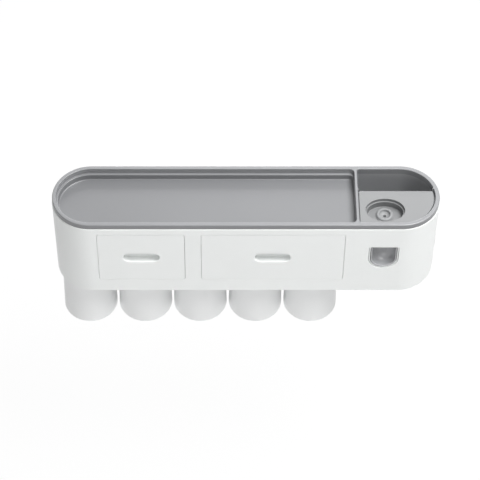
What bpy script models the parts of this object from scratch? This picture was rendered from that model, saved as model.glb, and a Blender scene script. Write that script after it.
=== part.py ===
"""Wall toothbrush holder: a long body with round ends that carries a tray, two drawers and a toothpaste
dispenser, hangs on a wall plate, and holds five cups mouth down by magnets.

Lengths are in metres, +Z is up and -Y is the front. The origin is the centre of the adhesive pad's back face,
which lies on the wall. Every piece but the wall plate and its pad hangs from the empty called holder, at the
middle of the body's plan and at the height of the rim's top. A drop is a depth below that height.
"""

import math

import bmesh
import bpy

# Fits, shared by all pieces
SEAT_GAP = 0.0003
SIDE_GAP = 0.0004
OVERRUN = 0.001
REPEAT_SHARE = 0.001

# Cups, their steel discs and their magnets
CUP_COUNT = 5
CUP_MOUTH_RADIUS = 0.0304
CUP_TAPER = 0.0021
CUP_HEIGHT = 0.0876
CUP_WALL = 0.0020
CUP_BASE = 0.0030
CUP_BASE_ROUND = 0.0020
CUP_SPACING = 0.0022
CUP_END_GAP = 0.0031
DISC_RADIUS = 0.0140
DISC_THICKNESS = 0.0008
DISC_COVER = 0.0002
MAGNET_RADIUS = 0.0100
MAGNET_THICKNESS = 0.0022
MAGNET_COVER = 0.0002

# Body shell
BODY_DEPTH = 0.0853
SHELL_WALL = 0.0025
SHELL_EDGE_ROUND = 0.0012
SKIRT_HEIGHT = 0.0169
POST_RADIUS = 0.0038
POST_HEIGHT = 0.0140
POST_BITE = 0.0006
LEFT_POST_ANGLE = 50.0
RIGHT_POST_ANGLE = 45.0

# Top tray
RIM_INSET = 0.0005
RIM_HEIGHT = 0.0057
RIM_WIDTH = 0.0047
RIM_EDGE_ROUND = 0.0018
LEDGE_DROP = 0.0066
LEDGE_WIDTH = 0.0030
DIVIDER_LEDGE_SHARE = 0.2
PAN_DROP = 0.0130
PAN_CORNER = 0.0050
TRAY_FLOOR = 0.0020
DIVIDER_WIDTH = 0.0030
DIVIDER_FROM_BAY = 0.0080
POCKET_FRONT = 0.0087
POCKET_WALL = 0.0018
POCKET_OVER_CEILING = 0.0070

# Drawers
DRAWER_TOP_DROP = 0.0158
DRAWER_HEIGHT = 0.0783
DRAWER_LIFT = 0.0034
DRAWER_CORNER = 0.0030
DRAWER_SEAM = 0.0005
DRAWER_END_GAP = 0.00465
DRAWER_SPACING = 0.0178
DRAWER_LEFT_GAP = 0.0065
SMALL_DRAWER_WIDTH = 0.0948
DRAWER_WALL = 0.0018
DRAWER_BOX_INSET = 0.0020
DRAWER_TOP_GAP = 0.0050
DRAWER_BACK_GAP = 0.0045
DRAWER_EDGE_ROUND = 0.0004
RECESS_WIDTH = 0.0405
RECESS_HEIGHT = 0.0153
RECESS_DEPTH = 0.0090
RECESS_DROP = 0.0398
RECESS_WALL = 0.0016
RECESS_FLOOR_INSET = 0.0041
GUIDE_HEIGHT = 0.0090
GUIDE_THICKNESS = 0.0016
RUNNER_WIDTH = 0.0040

# Base plate and the brush bay under the dispenser
BASE_THICKNESS = 0.0036
BAY_WIDTH = 0.0985
BAY_WALL = 0.0020
BAY_FROM_CUPS = 0.0066
CEILING_BELOW_WINDOW = 0.0015
BRUSH_COUNT = 5
COMB_RISE = 0.0040
COMB_THICKNESS = 0.0030
COMB_MOUTH_GAP = 0.0200
NOTCH_WIDTH = 0.0080
NOTCH_LENGTH = 0.0340
COMB_POST_INSET = 0.0060

# Dispenser deck and the tube's well
DECK_DROP = 0.0030
DECK_THICKNESS = 0.0020
DECK_GAP = 0.0010
DECK_LEDGE = 0.0017
NOZZLE_FROM_END = 0.0603
NOZZLE_FROM_FRONT = 0.02635
WELL_FROM_FRONT = 0.02465
WELL_LENGTH = 0.0423
WELL_DEPTH = 0.0315
WELL_STEP_DROP = 0.0065
WELL_STEP = 0.0016
WELL_DROP = 0.0145
WELL_WALL = 0.0016
WELL_FLOOR = 0.0020
BOSS_RADIUS = 0.0032

# Tube socket
SOCKET_RADIUS = 0.0097
SOCKET_RISE = 0.0025
SOCKET_ROUND = 0.0007
SOCKET_MOUTH_RADIUS = 0.0068
SOCKET_NECK_RADIUS = 0.0070
SOCKET_NECK_LENGTH = 0.0050
SOCKET_BORE_RADIUS = 0.0025

# Dispenser window and its bezel
WINDOW_TOP_DROP = 0.0363
WINDOW_WIDTH = 0.0328
WINDOW_HEIGHT = 0.0372
WINDOW_CORNER = 0.0030
LEAST_CORNER_SHARE = 0.1
BEZEL_SIDE_GAP = 0.00015
BEZEL_WIDTH = 0.0016
BEZEL_DEPTH = 0.0047
BEZEL_INSET = 0.0003

# Push paddle, plunger and spring
PADDLE_SIDE_GAP = 0.0007
PADDLE_INSET = 0.0006
PADDLE_DEPTH = 0.0149
PADDLE_LIP = 0.0010
PADDLE_WALL = 0.0016
SCOOP_FLOOR_INSET = 0.0039
PADDLE_BOSS_RADIUS = 0.0045
PADDLE_BOSS_LENGTH = 0.0040
PADDLE_AXIS_DROP = 0.0130
PADDLE_TRAVEL = 0.0070
ROD_RADIUS = 0.0026
PISTON_RADIUS = 0.0060
PISTON_LENGTH = 0.0046
GROOVE_WIDTH = 0.0022
GROOVE_RADIUS = 0.0045
SPRING_WIRE_RADIUS = 0.0004
SPRING_TURNS = 5

# Pump housing
FLANGE_THICKNESS = 0.0020
FLANGE_DEPTH = 0.0100
NECK_WALL = 0.0026
NECK_BORE_RADIUS = 0.0040
MANIFOLD_HALF_WIDTH = 0.0100
MANIFOLD_HEIGHT = 0.0062
MANIFOLD_OVER_WINDOW = 0.0008
MANIFOLD_FRONT_GAP = 0.0020
DUCT_HALF_WIDTH = 0.0025
DUCT_HEIGHT = 0.0030
DROP_RADIUS = 0.0022
COLUMN_HALF_WIDTH = 0.0045
BARREL_WALL = 0.0025
BARREL_BORE_RADIUS = 0.0065
BARREL_BACK_GAP = 0.0007
BARREL_END = 0.0020
BARREL_CAP_THICKNESS = 0.0016
OUTLET_RADIUS = 0.0032
OUTLET_TIP_RADIUS = 0.0022
OUTLET_LENGTH = 0.0045
OUTLET_COLLAR = 0.0015
OUTLET_BORE_RADIUS = 0.0010
OUTLET_FROM_WALL = 0.00655

# Screws
SCREW_HEAD_RADIUS = 0.0028
SCREW_HEAD_HEIGHT = 0.0020
SCREW_RADIUS = 0.0014
SCREW_HOLE_RADIUS = 0.0017
SCREW_CLEARANCE_RADIUS = 0.0019
SCREW_BITE = 0.0090

# Wall plate, its hooks and the adhesive pad
PLATE_WIDTH = 0.3000
PLATE_HEIGHT = 0.0440
PLATE_THICKNESS = 0.0020
PLATE_CORNER = 0.0040
PAD_MARGIN = 0.0020
PAD_THICKNESS = 0.0010
PLATE_CENTRE_DROP = 0.0500
HOOK_SPACING = 0.2000
HOOK_WIDTH = 0.0160
HOOK_STEM_HEIGHT = 0.0040
TONGUE_HEIGHT = 0.0080
TONGUE_THICKNESS = 0.0020
SLOT_HEIGHT = 0.0150
SLOT_SIDE_GAP = 0.0005

# Facets
END_STEPS = 12
CORNER_STEPS = 3
ROUND_STEPS = 2
SCOOP_STEPS = 4
CUP_SIDES = 40
WELL_SIDES = 40
TURNED_SIDES = 28
SMALL_SIDES = 16
SPRING_POINTS = 10
SHARP_ANGLE = math.radians(35)

# Worked out from the cups: the body is as long as their row and the brush bay beside it
CUP_PITCH = 2 * CUP_MOUTH_RADIUS + CUP_SPACING
BODY_WIDTH = CUP_END_GAP + CUP_COUNT * CUP_PITCH - CUP_SPACING + BAY_FROM_CUPS + BAY_WIDTH
HALF_WIDTH = BODY_WIDTH / 2
HALF_DEPTH = BODY_DEPTH / 2
END_CENTRE = HALF_WIDTH - HALF_DEPTH
FIRST_CUP = -HALF_WIDTH + CUP_END_GAP + CUP_MOUTH_RADIUS
CUP_CENTRES = [FIRST_CUP + i * CUP_PITCH for i in range(CUP_COUNT)]

# Places along the body
BAY_LEFT = HALF_WIDTH - BAY_WIDTH
DIVIDER = BAY_LEFT + DIVIDER_FROM_BAY
LARGE_DRAWER_RIGHT = BAY_LEFT - DRAWER_END_GAP
SMALL_DRAWER_LEFT = -END_CENTRE + DRAWER_LEFT_GAP
SMALL_DRAWER_RIGHT = SMALL_DRAWER_LEFT + SMALL_DRAWER_WIDTH
LARGE_DRAWER_LEFT = SMALL_DRAWER_RIGHT + DRAWER_SPACING
NOZZLE_X = HALF_WIDTH - NOZZLE_FROM_END

# Places across the body
WALL_INSIDE = HALF_DEPTH - SHELL_WALL
INSERT = SHELL_WALL + SIDE_GAP
RIM_INSIDE = RIM_INSET + RIM_WIDTH
NOZZLE_Y = -HALF_DEPTH + NOZZLE_FROM_FRONT
WELL_Y = -HALF_DEPTH + WELL_FROM_FRONT
TONGUE_REACH = SHELL_WALL + SEAT_GAP + TONGUE_THICKNESS
DRAWER_BACK = HALF_DEPTH - TONGUE_REACH - DRAWER_BACK_GAP
PLATE_FRONT = PAD_THICKNESS + SEAT_GAP + PLATE_THICKNESS
BODY_BACK = PLATE_FRONT + SEAT_GAP
OUTLET_Y = -WALL_INSIDE + OUTLET_FROM_WALL

# Heights, measured from the rim's top
TRAY_BOTTOM = -(PAN_DROP + TRAY_FLOOR)
DRAWER_BOTTOM = -(DRAWER_TOP_DROP + DRAWER_HEIGHT)
DRAWER_MIDDLE = DRAWER_BOTTOM + DRAWER_HEIGHT / 2
BASE_TOP = DRAWER_BOTTOM - DRAWER_LIFT
BASE_BOTTOM = BASE_TOP - BASE_THICKNESS
SKIRT_BOTTOM = BASE_TOP - SKIRT_HEIGHT
SHELL_TOP = -(RIM_HEIGHT + SEAT_GAP)
WINDOW_TOP = -WINDOW_TOP_DROP
WINDOW_BOTTOM = WINDOW_TOP - WINDOW_HEIGHT
CEILING_TOP = WINDOW_BOTTOM - CEILING_BELOW_WINDOW
CEILING_BOTTOM = CEILING_TOP - BAY_WALL
POCKET_BOTTOM = CEILING_TOP + POCKET_OVER_CEILING
COMB_BOTTOM = SKIRT_BOTTOM + COMB_RISE
COMB_TOP = COMB_BOTTOM + COMB_THICKNESS
DECK_TOP = -DECK_DROP
DECK_BOTTOM = DECK_TOP - DECK_THICKNESS
WELL_BOTTOM = -(WELL_DROP + WELL_FLOOR)
SOCKET_FOOT = -WELL_DROP + SEAT_GAP
FLANGE_TOP = WELL_BOTTOM - SEAT_GAP
FLANGE_BOTTOM = FLANGE_TOP - FLANGE_THICKNESS
MANIFOLD_BOTTOM = WINDOW_TOP + MANIFOLD_OVER_WINDOW
MANIFOLD_TOP = MANIFOLD_BOTTOM + MANIFOLD_HEIGHT
DUCT_MIDDLE = MANIFOLD_BOTTOM + MANIFOLD_HEIGHT / 2
PADDLE_AXIS = WINDOW_TOP - PADDLE_AXIS_DROP
CUP_TOP = BASE_BOTTOM - SEAT_GAP

# The pump's places along its axis, from the paddle's front edge back
PADDLE_FRONT = -HALF_DEPTH + PADDLE_INSET
PADDLE_BACK = PADDLE_FRONT + PADDLE_DEPTH
BOSS_BACK = PADDLE_BACK + PADDLE_BOSS_LENGTH
BARREL_BACK = POCKET_FRONT - POCKET_WALL - BARREL_BACK_GAP
CAP_FRONT = BOSS_BACK + PADDLE_TRAVEL + OVERRUN
CAP_BACK = CAP_FRONT + BARREL_CAP_THICKNESS
BARREL_FRONT = CAP_BACK + SEAT_GAP
BARREL_RADIUS = BARREL_BORE_RADIUS + BARREL_WALL
PISTON_FRONT = BARREL_FRONT + OVERRUN


def arc(centre_u, centre_v, radius, start, sweep, steps):
    """Points along an arc, with both its ends. Angles are in degrees."""
    angles = [math.radians(start + sweep * i / steps) for i in range(steps + 1)]
    return [(centre_u + radius * math.cos(a), centre_v + radius * math.sin(a)) for a in angles]


def without_repeats(points):
    """The outline with each point that repeats the one before it left out."""
    least = REPEAT_SHARE * SEAT_GAP
    return [point for i, point in enumerate(points) if math.dist(point, points[i - 1]) > least]


def rounded_box(low_u, high_u, low_v, high_v, radii, steps):
    """An upright box with round corners, anticlockwise from its lower left corner, a radius for each."""
    signs = ((1, 1), (-1, 1), (-1, -1), (1, -1))
    corners = ((low_u, low_v), (high_u, low_v), (high_u, high_v), (low_u, high_v))
    points = []
    for i, ((u, v), (sign_u, sign_v), radius) in enumerate(zip(corners, signs, radii)):
        points += arc(u + sign_u * radius, v + sign_v * radius, radius, 180 + 90 * i, 90, steps)
    return without_repeats(points)


def circle(centre_u, centre_v, radius, sides):
    """A circle's points, anticlockwise."""
    return arc(centre_u, centre_v, radius, 0, 360, sides)[:-1]


def oval(centre_u, centre_v, half_u, half_v, sides):
    """An ellipse's points, anticlockwise."""
    unit = circle(0, 0, 1, sides)
    return [(centre_u + half_u * u, centre_v + half_v * v) for u, v in unit]


def body_outline(inset):
    """The body's plan, two straight sides and two half-round ends, drawn in by inset."""
    width, depth = HALF_WIDTH - inset, HALF_DEPTH - inset
    return rounded_box(-width, width, -depth, depth, [depth] * 4, END_STEPS)


def clipped(points, axis, limit, side):
    """The part of a convex outline on one side of a line: beyond limit along axis if side is 1."""
    kept = []
    for i, point in enumerate(points):
        before = points[i - 1]
        here, there = (side * (p[axis] - limit) for p in (point, before))
        if here * there < 0:
            share = there / (there - here)
            kept.append(tuple(b + share * (p - b) for b, p in zip(before, point)))
        if here >= 0:
            kept.append(point)
    return without_repeats(kept)


def level(points, height):
    """An outline laid flat at a height."""
    return [(u, v, height) for u, v in points]


def upright(points, y):
    """An outline of x and z stood up at a depth y."""
    return [(u, y, v) for u, v in points]


def add_rings(shape, rings, closed):
    """Adds the solid that joins rings of equally many points, capped at both ends or closed on itself."""
    loops = [[shape.verts.new(point) for point in ring] for ring in rings]
    if closed:
        loops.append(loops[0])
    else:
        shape.faces.new(loops[0])
        shape.faces.new(loops[-1])
    for lower, upper in zip(loops, loops[1:]):
        for i in range(len(lower)):
            shape.faces.new((lower[i - 1], lower[i], upper[i], upper[i - 1]))


def mesh_of(name, solids, closed=False):
    """A mesh of one or more separate solids, each given as its rings."""
    shape = bmesh.new()
    for rings in solids:
        add_rings(shape, rings, closed)
    bmesh.ops.recalc_face_normals(shape, faces=shape.faces)
    mesh = bpy.data.meshes.new(name)
    shape.to_mesh(mesh)
    shape.free()
    mesh.shade_smooth()
    mesh.set_sharp_from_angle(angle=SHARP_ANGLE)
    return mesh


def flat_prism(name, outline, low, high):
    """An outline of x and y, raised from one height to another."""
    return mesh_of(name, [[level(outline, low), level(outline, high)]])


def deep_prism(name, outline, front, back):
    """An outline of x and z, drawn back from one depth to another."""
    return mesh_of(name, [[upright(outline, front), upright(outline, back)]])


def turned_rings(profile, x, y, sides):
    """Rings about an upright axis through x and y, one for each radius and height of the profile."""
    return [level(circle(x, y, radius, sides), height) for radius, height in profile]


def bored_rings(profile, x, z, sides):
    """Rings about an axis along Y through x and z, one for each radius and depth of the profile."""
    return [upright(circle(x, z, radius, sides), depth) for radius, depth in profile]


def material(name, colour, roughness, metallic=0.0):
    """A moulded plastic, rubber or metal finish."""
    made = bpy.data.materials.new(name)
    made.use_nodes = True
    shader = made.node_tree.nodes["Principled BSDF"]
    shader.inputs["Base Color"].default_value = (*colour, 1.0)
    shader.inputs["Roughness"].default_value = roughness
    shader.inputs["Metallic"].default_value = metallic
    return made


def piece(name, data, parent, finish, location=(0, 0, 0)):
    """A named sub-part in its place, with its own finish."""
    made = bpy.data.objects.new(name, data)
    bpy.context.scene.collection.objects.link(made)
    made.parent = parent
    made.location = location
    made.data.materials.append(finish)
    return made


def empty(name, parent, location):
    """A guide point that other pieces are placed from."""
    made = bpy.data.objects.new(name, None)
    bpy.context.scene.collection.objects.link(made)
    made.parent = parent
    made.location = location
    return made


def shaped(owner, operation, mesh):
    """Cuts, joins or limits a piece with a hidden solid in the piece's own coordinates."""
    helper = bpy.data.objects.new(mesh.name, mesh)
    bpy.context.scene.collection.objects.link(helper)
    helper.parent = owner
    helper.hide_render = True
    helper.display_type = "WIRE"
    modifier = owner.modifiers.new(mesh.name, "BOOLEAN")
    modifier.operation = operation
    modifier.object = helper
    modifier.solver = "EXACT"


def edge_profile(low, high, low_round, high_round):
    """Inset and height up the outside of a wall whose lower and upper edges are rounded."""
    profile = []
    for i in range(ROUND_STEPS + 1):
        turn = math.radians(90 * i / ROUND_STEPS)
        profile.append((low_round * (1 - math.sin(turn)), low + low_round * (1 - math.cos(turn))))
    for i in range(ROUND_STEPS + 1):
        turn = math.radians(90 * i / ROUND_STEPS)
        profile.append((high_round * (1 - math.cos(turn)), high - high_round * (1 - math.sin(turn))))
    return profile


def window_outline(inset, top=WINDOW_TOP):
    """The dispenser window: a flat top with small corners, straight sides and a half-round bottom."""
    half = WINDOW_WIDTH / 2 - inset
    corner = max(WINDOW_CORNER - inset, LEAST_CORNER_SHARE * WINDOW_CORNER)
    radii = (half, half, corner, corner)
    return rounded_box(
        NOZZLE_X - half, NOZZLE_X + half, WINDOW_BOTTOM + inset, top - inset, radii, END_STEPS
    )


def drawer_outline(left, right, inset):
    """A drawer's opening or front, with its four round corners."""
    radii = [DRAWER_CORNER - inset] * 4
    low, high = DRAWER_BOTTOM, DRAWER_BOTTOM + DRAWER_HEIGHT
    return rounded_box(left + inset, right - inset, low + inset, high - inset, radii, CORNER_STEPS)


def end_point(angle, inset):
    """A point on the right-hand end's half circle, drawn in by inset from the body's outside."""
    turn = math.radians(angle)
    radius = HALF_DEPTH - inset
    return END_CENTRE + radius * math.cos(turn), radius * math.sin(turn)


def base_screw_sites():
    """Where screws rise through the base plate: each x, y and the height of the plate's top there."""
    inset = SHELL_WALL - POST_BITE + POST_RADIUS
    end_x, end_y = end_point(LEFT_POST_ANGLE, inset)
    middle = (SMALL_DRAWER_RIGHT + LARGE_DRAWER_LEFT) / 2
    sites = [(-end_x, side * end_y, BASE_TOP) for side in (-1, 1)]
    sites += [(middle, side * (HALF_DEPTH - inset), BASE_TOP) for side in (-1, 1)]
    right_x, right_y = end_point(-RIGHT_POST_ANGLE, inset)
    sites.append((right_x, right_y, CEILING_TOP))
    return sites


def comb_screw_sites():
    """Where screws rise through the brush comb into the ceiling's two posts."""
    left = BAY_LEFT + BAY_WALL + COMB_POST_INSET
    back = HALF_DEPTH - INSERT - COMB_POST_INSET
    return [(left, back), end_point(LEFT_POST_ANGLE, INSERT + COMB_POST_INSET)]


def notch_centres():
    """The comb's notches, evenly spread between the bay's left wall and the round end."""
    left = BAY_LEFT + BAY_WALL + SIDE_GAP
    reach = HALF_DEPTH - INSERT
    front = WALL_INSIDE - COMB_MOUTH_GAP
    right = END_CENTRE + math.sqrt(reach**2 - front**2)
    pitch = (right - left) / BRUSH_COUNT
    return [left + pitch * (i + 0.5) for i in range(BRUSH_COUNT)]


def make_body_shell(holder, finish):
    """The outer wall, open above and below, with its drawer openings, window, hook slots and screw posts."""
    profile = edge_profile(SKIRT_BOTTOM, SHELL_TOP, SHELL_EDGE_ROUND, SHELL_EDGE_ROUND)
    rings = [level(body_outline(inset), height) for inset, height in profile]
    rings += [level(body_outline(SHELL_WALL), height) for height in (SHELL_TOP, SKIRT_BOTTOM)]
    shell = piece("body_shell", mesh_of("body_shell", [rings], closed=True), holder, finish)
    for i, (x, y, plate_top) in enumerate(base_screw_sites()):
        low = plate_top + SEAT_GAP
        post = circle(x, y, POST_RADIUS, SMALL_SIDES)
        shaped(shell, "UNION", flat_prism(f"screw_post_{i}", post, low, low + POST_HEIGHT))
        hole = circle(x, y, SCREW_HOLE_RADIUS, SMALL_SIDES)
        high = low + SCREW_BITE + OVERRUN
        shaped(shell, "DIFFERENCE", flat_prism(f"post_hole_{i}", hole, low - OVERRUN, high))
    front = (-HALF_DEPTH - OVERRUN, -WALL_INSIDE + OVERRUN)
    small = drawer_outline(SMALL_DRAWER_LEFT, SMALL_DRAWER_RIGHT, 0)
    shaped(shell, "DIFFERENCE", deep_prism("small_opening", small, *front))
    large = drawer_outline(LARGE_DRAWER_LEFT, LARGE_DRAWER_RIGHT, 0)
    shaped(shell, "DIFFERENCE", deep_prism("large_opening", large, *front))
    shaped(shell, "DIFFERENCE", deep_prism("window_opening", window_outline(0), *front))
    half = HOOK_WIDTH / 2 + SLOT_SIDE_GAP
    slot_top = -PLATE_CENTRE_DROP
    for side in (-1, 1):
        x = side * HOOK_SPACING / 2
        slot = rounded_box(x - half, x + half, slot_top - SLOT_HEIGHT, slot_top, [0] * 4, 1)
        back = (WALL_INSIDE - OVERRUN, HALF_DEPTH + OVERRUN)
        shaped(shell, "DIFFERENCE", deep_prism(f"hook_slot_{side + 1}", slot, *back))


def pan_outline(inset):
    """The long tray's inner wall: round at the left, with small corners and a narrow ledge at the divider."""
    half = HALF_DEPTH - RIM_INSIDE - inset
    left = -HALF_WIDTH + RIM_INSIDE + inset
    right = DIVIDER - DIVIDER_WIDTH / 2 - DIVIDER_LEDGE_SHARE * inset
    radii = (half, PAN_CORNER, PAN_CORNER, half)
    return rounded_box(left, right, -half, half, radii, END_STEPS)


def right_outline(inset, left_inset, axis_limit, side):
    """The part of the plan right of the divider and in front of or behind a line across it."""
    outline = clipped(body_outline(inset), 0, DIVIDER + DIVIDER_WIDTH / 2 + left_inset, 1)
    return clipped(outline, 1, axis_limit, side)


def make_top_tray(holder, finish):
    """The rim, long tray, divider, deck recess and deep pocket, moulded in one and plugged into the shell."""
    profile = [(INSERT, TRAY_BOTTOM), (INSERT, -RIM_HEIGHT)]
    profile += [(RIM_INSET + i, z) for i, z in edge_profile(-RIM_HEIGHT, 0, 0, RIM_EDGE_ROUND)[ROUND_STEPS:]]
    block = [level(body_outline(inset), height) for inset, height in profile]
    tray = piece("top_tray", mesh_of("top_tray", [block]), holder, finish)
    pocket_block = right_outline(INSERT + SEAT_GAP, -DIVIDER_WIDTH, POCKET_FRONT - POCKET_WALL, 1)
    pocket_block_top = -RIM_HEIGHT - OVERRUN
    shaped(tray, "UNION", flat_prism("pocket_block", pocket_block, POCKET_BOTTOM, pocket_block_top))
    steps = ((0, OVERRUN), (0, -LEDGE_DROP), (LEDGE_WIDTH, -LEDGE_DROP), (LEDGE_WIDTH, -PAN_DROP))
    pan = [level(pan_outline(inset), height) for inset, height in steps]
    shaped(tray, "DIFFERENCE", mesh_of("pan", [pan]))
    recess = right_outline(RIM_INSIDE, 0, POCKET_FRONT + OVERRUN, -1)
    recess_floor = DECK_BOTTOM - SEAT_GAP
    shaped(tray, "DIFFERENCE", flat_prism("deck_recess", recess, recess_floor, OVERRUN))
    way_back = POCKET_FRONT - POCKET_WALL - SEAT_GAP
    way = right_outline(RIM_INSIDE + DECK_LEDGE, DECK_LEDGE, way_back, -1)
    shaped(tray, "DIFFERENCE", flat_prism("pump_way", way, TRAY_BOTTOM - OVERRUN, recess_floor + OVERRUN))
    pocket = right_outline(RIM_INSIDE, 0, POCKET_FRONT, 1)
    shaped(tray, "DIFFERENCE", flat_prism("pocket", pocket, POCKET_BOTTOM + TRAY_FLOOR, OVERRUN))


def make_base_plate(holder, finish):
    """The floor under the drawers, stepped up over the brush bay, with drawer runners and magnet pockets."""
    left, right = -HALF_WIDTH, HALF_WIDTH
    bay_inside = BAY_LEFT + BAY_WALL
    step = [(left, BASE_BOTTOM), (bay_inside, BASE_BOTTOM), (bay_inside, CEILING_BOTTOM)]
    step += [(right, CEILING_BOTTOM), (right, CEILING_TOP), (BAY_LEFT, CEILING_TOP)]
    step += [(BAY_LEFT, BASE_TOP), (left, BASE_TOP)]
    plate = piece("base_plate", deep_prism("base_plate", step, -HALF_DEPTH, HALF_DEPTH), holder, finish)
    plan = flat_prism("plate_plan", body_outline(INSERT), BASE_BOTTOM - OVERRUN, CEILING_TOP + OVERRUN)
    shaped(plate, "INTERSECT", plan)
    drawers = ((SMALL_DRAWER_LEFT, SMALL_DRAWER_RIGHT), (LARGE_DRAWER_LEFT, LARGE_DRAWER_RIGHT))
    near, far = MAGNET_RADIUS + 2 * SIDE_GAP + OVERRUN, DRAWER_BACK
    for i, (low, high) in enumerate(drawers):
        for side, edge in ((-1, low), (1, high)):
            beside = edge - side * (DRAWER_SEAM + DRAWER_BOX_INSET - SIDE_GAP)
            away = beside + side * GUIDE_THICKNESS
            under = beside - side * RUNNER_WIDTH
            for end in (-1, 1):
                y_low, y_high = sorted((end * near, end * far))
                for kind, inner, height in (("guide", beside, GUIDE_HEIGHT), ("runner", under, DRAWER_LIFT)):
                    rib = rounded_box(min(inner, away), max(inner, away), y_low, y_high, [0] * 4, 1)
                    name = f"{kind}_{i}_{side + 1}_{end + 1}"
                    shaped(plate, "UNION", flat_prism(name, rib, BASE_TOP - OVERRUN, BASE_TOP + height))
    pocket_floor = BASE_TOP - MAGNET_COVER - MAGNET_THICKNESS - SEAT_GAP
    for i, x in enumerate(CUP_CENTRES):
        pocket = circle(x, 0, MAGNET_RADIUS + SIDE_GAP, TURNED_SIDES)
        pocket = flat_prism(f"magnet_pocket_{i}", pocket, pocket_floor, BASE_TOP + OVERRUN)
        shaped(plate, "DIFFERENCE", pocket)
    for i, (x, y, plate_top) in enumerate(base_screw_sites()):
        hole = circle(x, y, SCREW_CLEARANCE_RADIUS, SMALL_SIDES)
        low = plate_top - BASE_THICKNESS - OVERRUN
        shaped(plate, "DIFFERENCE", flat_prism(f"plate_hole_{i}", hole, low, plate_top + OVERRUN))
    for i, (x, y) in enumerate(comb_screw_sites()):
        post = circle(x, y, POST_RADIUS, SMALL_SIDES)
        low = COMB_TOP + SEAT_GAP
        shaped(plate, "UNION", flat_prism(f"comb_post_{i}", post, low, CEILING_BOTTOM + OVERRUN))
        hole = circle(x, y, SCREW_HOLE_RADIUS, SMALL_SIDES)
        high = low + SCREW_BITE + OVERRUN
        shaped(plate, "DIFFERENCE", flat_prism(f"comb_post_hole_{i}", hole, low - OVERRUN, high))


def make_brush_comb(holder, finish):
    """The notched plate behind the skirt. A brush head goes up in front of it and its neck into a notch."""
    front = -WALL_INSIDE + COMB_MOUTH_GAP
    outline = clipped(body_outline(INSERT), 0, BAY_LEFT + BAY_WALL + SIDE_GAP, 1)
    outline = clipped(outline, 1, front, 1)
    comb = piece("brush_comb", flat_prism("brush_comb", outline, COMB_BOTTOM, COMB_TOP), holder, finish)
    half = NOTCH_WIDTH / 2
    below, above = COMB_BOTTOM - OVERRUN, COMB_TOP + OVERRUN
    for i, x in enumerate(notch_centres()):
        radii = (0, 0, half, half)
        notch = rounded_box(x - half, x + half, front - OVERRUN, front + NOTCH_LENGTH, radii, CORNER_STEPS)
        shaped(comb, "DIFFERENCE", flat_prism(f"notch_{i}", notch, below, above))
    for i, (x, y) in enumerate(comb_screw_sites()):
        hole = circle(x, y, SCREW_CLEARANCE_RADIUS, SMALL_SIDES)
        shaped(comb, "DIFFERENCE", flat_prism(f"comb_hole_{i}", hole, below, above))


def make_magnets(holder, finish):
    """A round magnet in each pocket of the base plate, over each cup."""
    top = BASE_TOP - MAGNET_COVER
    for i, x in enumerate(CUP_CENTRES):
        outline = circle(0, 0, MAGNET_RADIUS, TURNED_SIDES)
        data = flat_prism(f"magnet_{i + 1}", outline, -MAGNET_THICKNESS, 0)
        piece(f"magnet_{i + 1}", data, holder, finish, (x, 0, top))


def make_cups(holder, cup_finish, disc_finish):
    """Tapered cups that hang mouth down, each with a steel disc let into its base."""
    base_radius = CUP_MOUTH_RADIUS - CUP_TAPER
    recess = DISC_COVER + DISC_THICKNESS + SEAT_GAP
    mouth = -CUP_HEIGHT
    profile = [(DISC_RADIUS + SIDE_GAP, -recess), (DISC_RADIUS + SIDE_GAP, 0)]
    profile += [(base_radius - CUP_BASE_ROUND, 0)]
    for i in range(1, ROUND_STEPS + 1):
        turn = math.radians(90 * i / ROUND_STEPS)
        radius = base_radius - CUP_BASE_ROUND * (1 - math.sin(turn))
        profile.append((radius, -CUP_BASE_ROUND * (1 - math.cos(turn))))
    profile += [(CUP_MOUTH_RADIUS, mouth), (CUP_MOUTH_RADIUS - CUP_WALL, mouth)]
    profile += [(base_radius - CUP_WALL, -CUP_BASE - CUP_BASE_ROUND)]
    profile += [(base_radius - CUP_WALL - CUP_BASE_ROUND, -CUP_BASE)]
    cup = mesh_of("cup", [turned_rings(profile, 0, 0, CUP_SIDES)])
    disc_outline = circle(0, 0, DISC_RADIUS, TURNED_SIDES)
    disc = flat_prism("cup_disc", disc_outline, -DISC_COVER - DISC_THICKNESS, -DISC_COVER)
    for i, x in enumerate(CUP_CENTRES):
        hung = empty(f"cup_{i + 1}_seat", holder, (x, 0, CUP_TOP))
        piece(f"cup_{i + 1}", cup.copy(), hung, cup_finish)
        piece(f"cup_disc_{i + 1}", disc.copy(), hung, disc_finish)


def recess_outline(inset):
    """A drawer's finger recess: a lying slot with half-round ends, about the drawer's own centre line."""
    half_width, half_height = RECESS_WIDTH / 2 - inset, RECESS_HEIGHT / 2 - inset
    middle = DRAWER_HEIGHT / 2 - RECESS_DROP
    low, high = middle - half_height, middle + half_height
    return rounded_box(-half_width, half_width, low, high, [half_height] * 4, CORNER_STEPS)


def scoop_rings(offset, depth, front):
    """Rings of a scoop whose side curves in towards its floor, and its offset outside."""
    rings = [upright(recess_outline(-offset), front)]
    for i in range(SCOOP_STEPS + 1):
        turn = math.radians(90 * i / SCOOP_STEPS)
        inset = RECESS_FLOOR_INSET * (1 - math.cos(turn)) - offset
        rings.append(upright(recess_outline(inset), front + OVERRUN + (depth - OVERRUN) * math.sin(turn)))
    return rings


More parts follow.
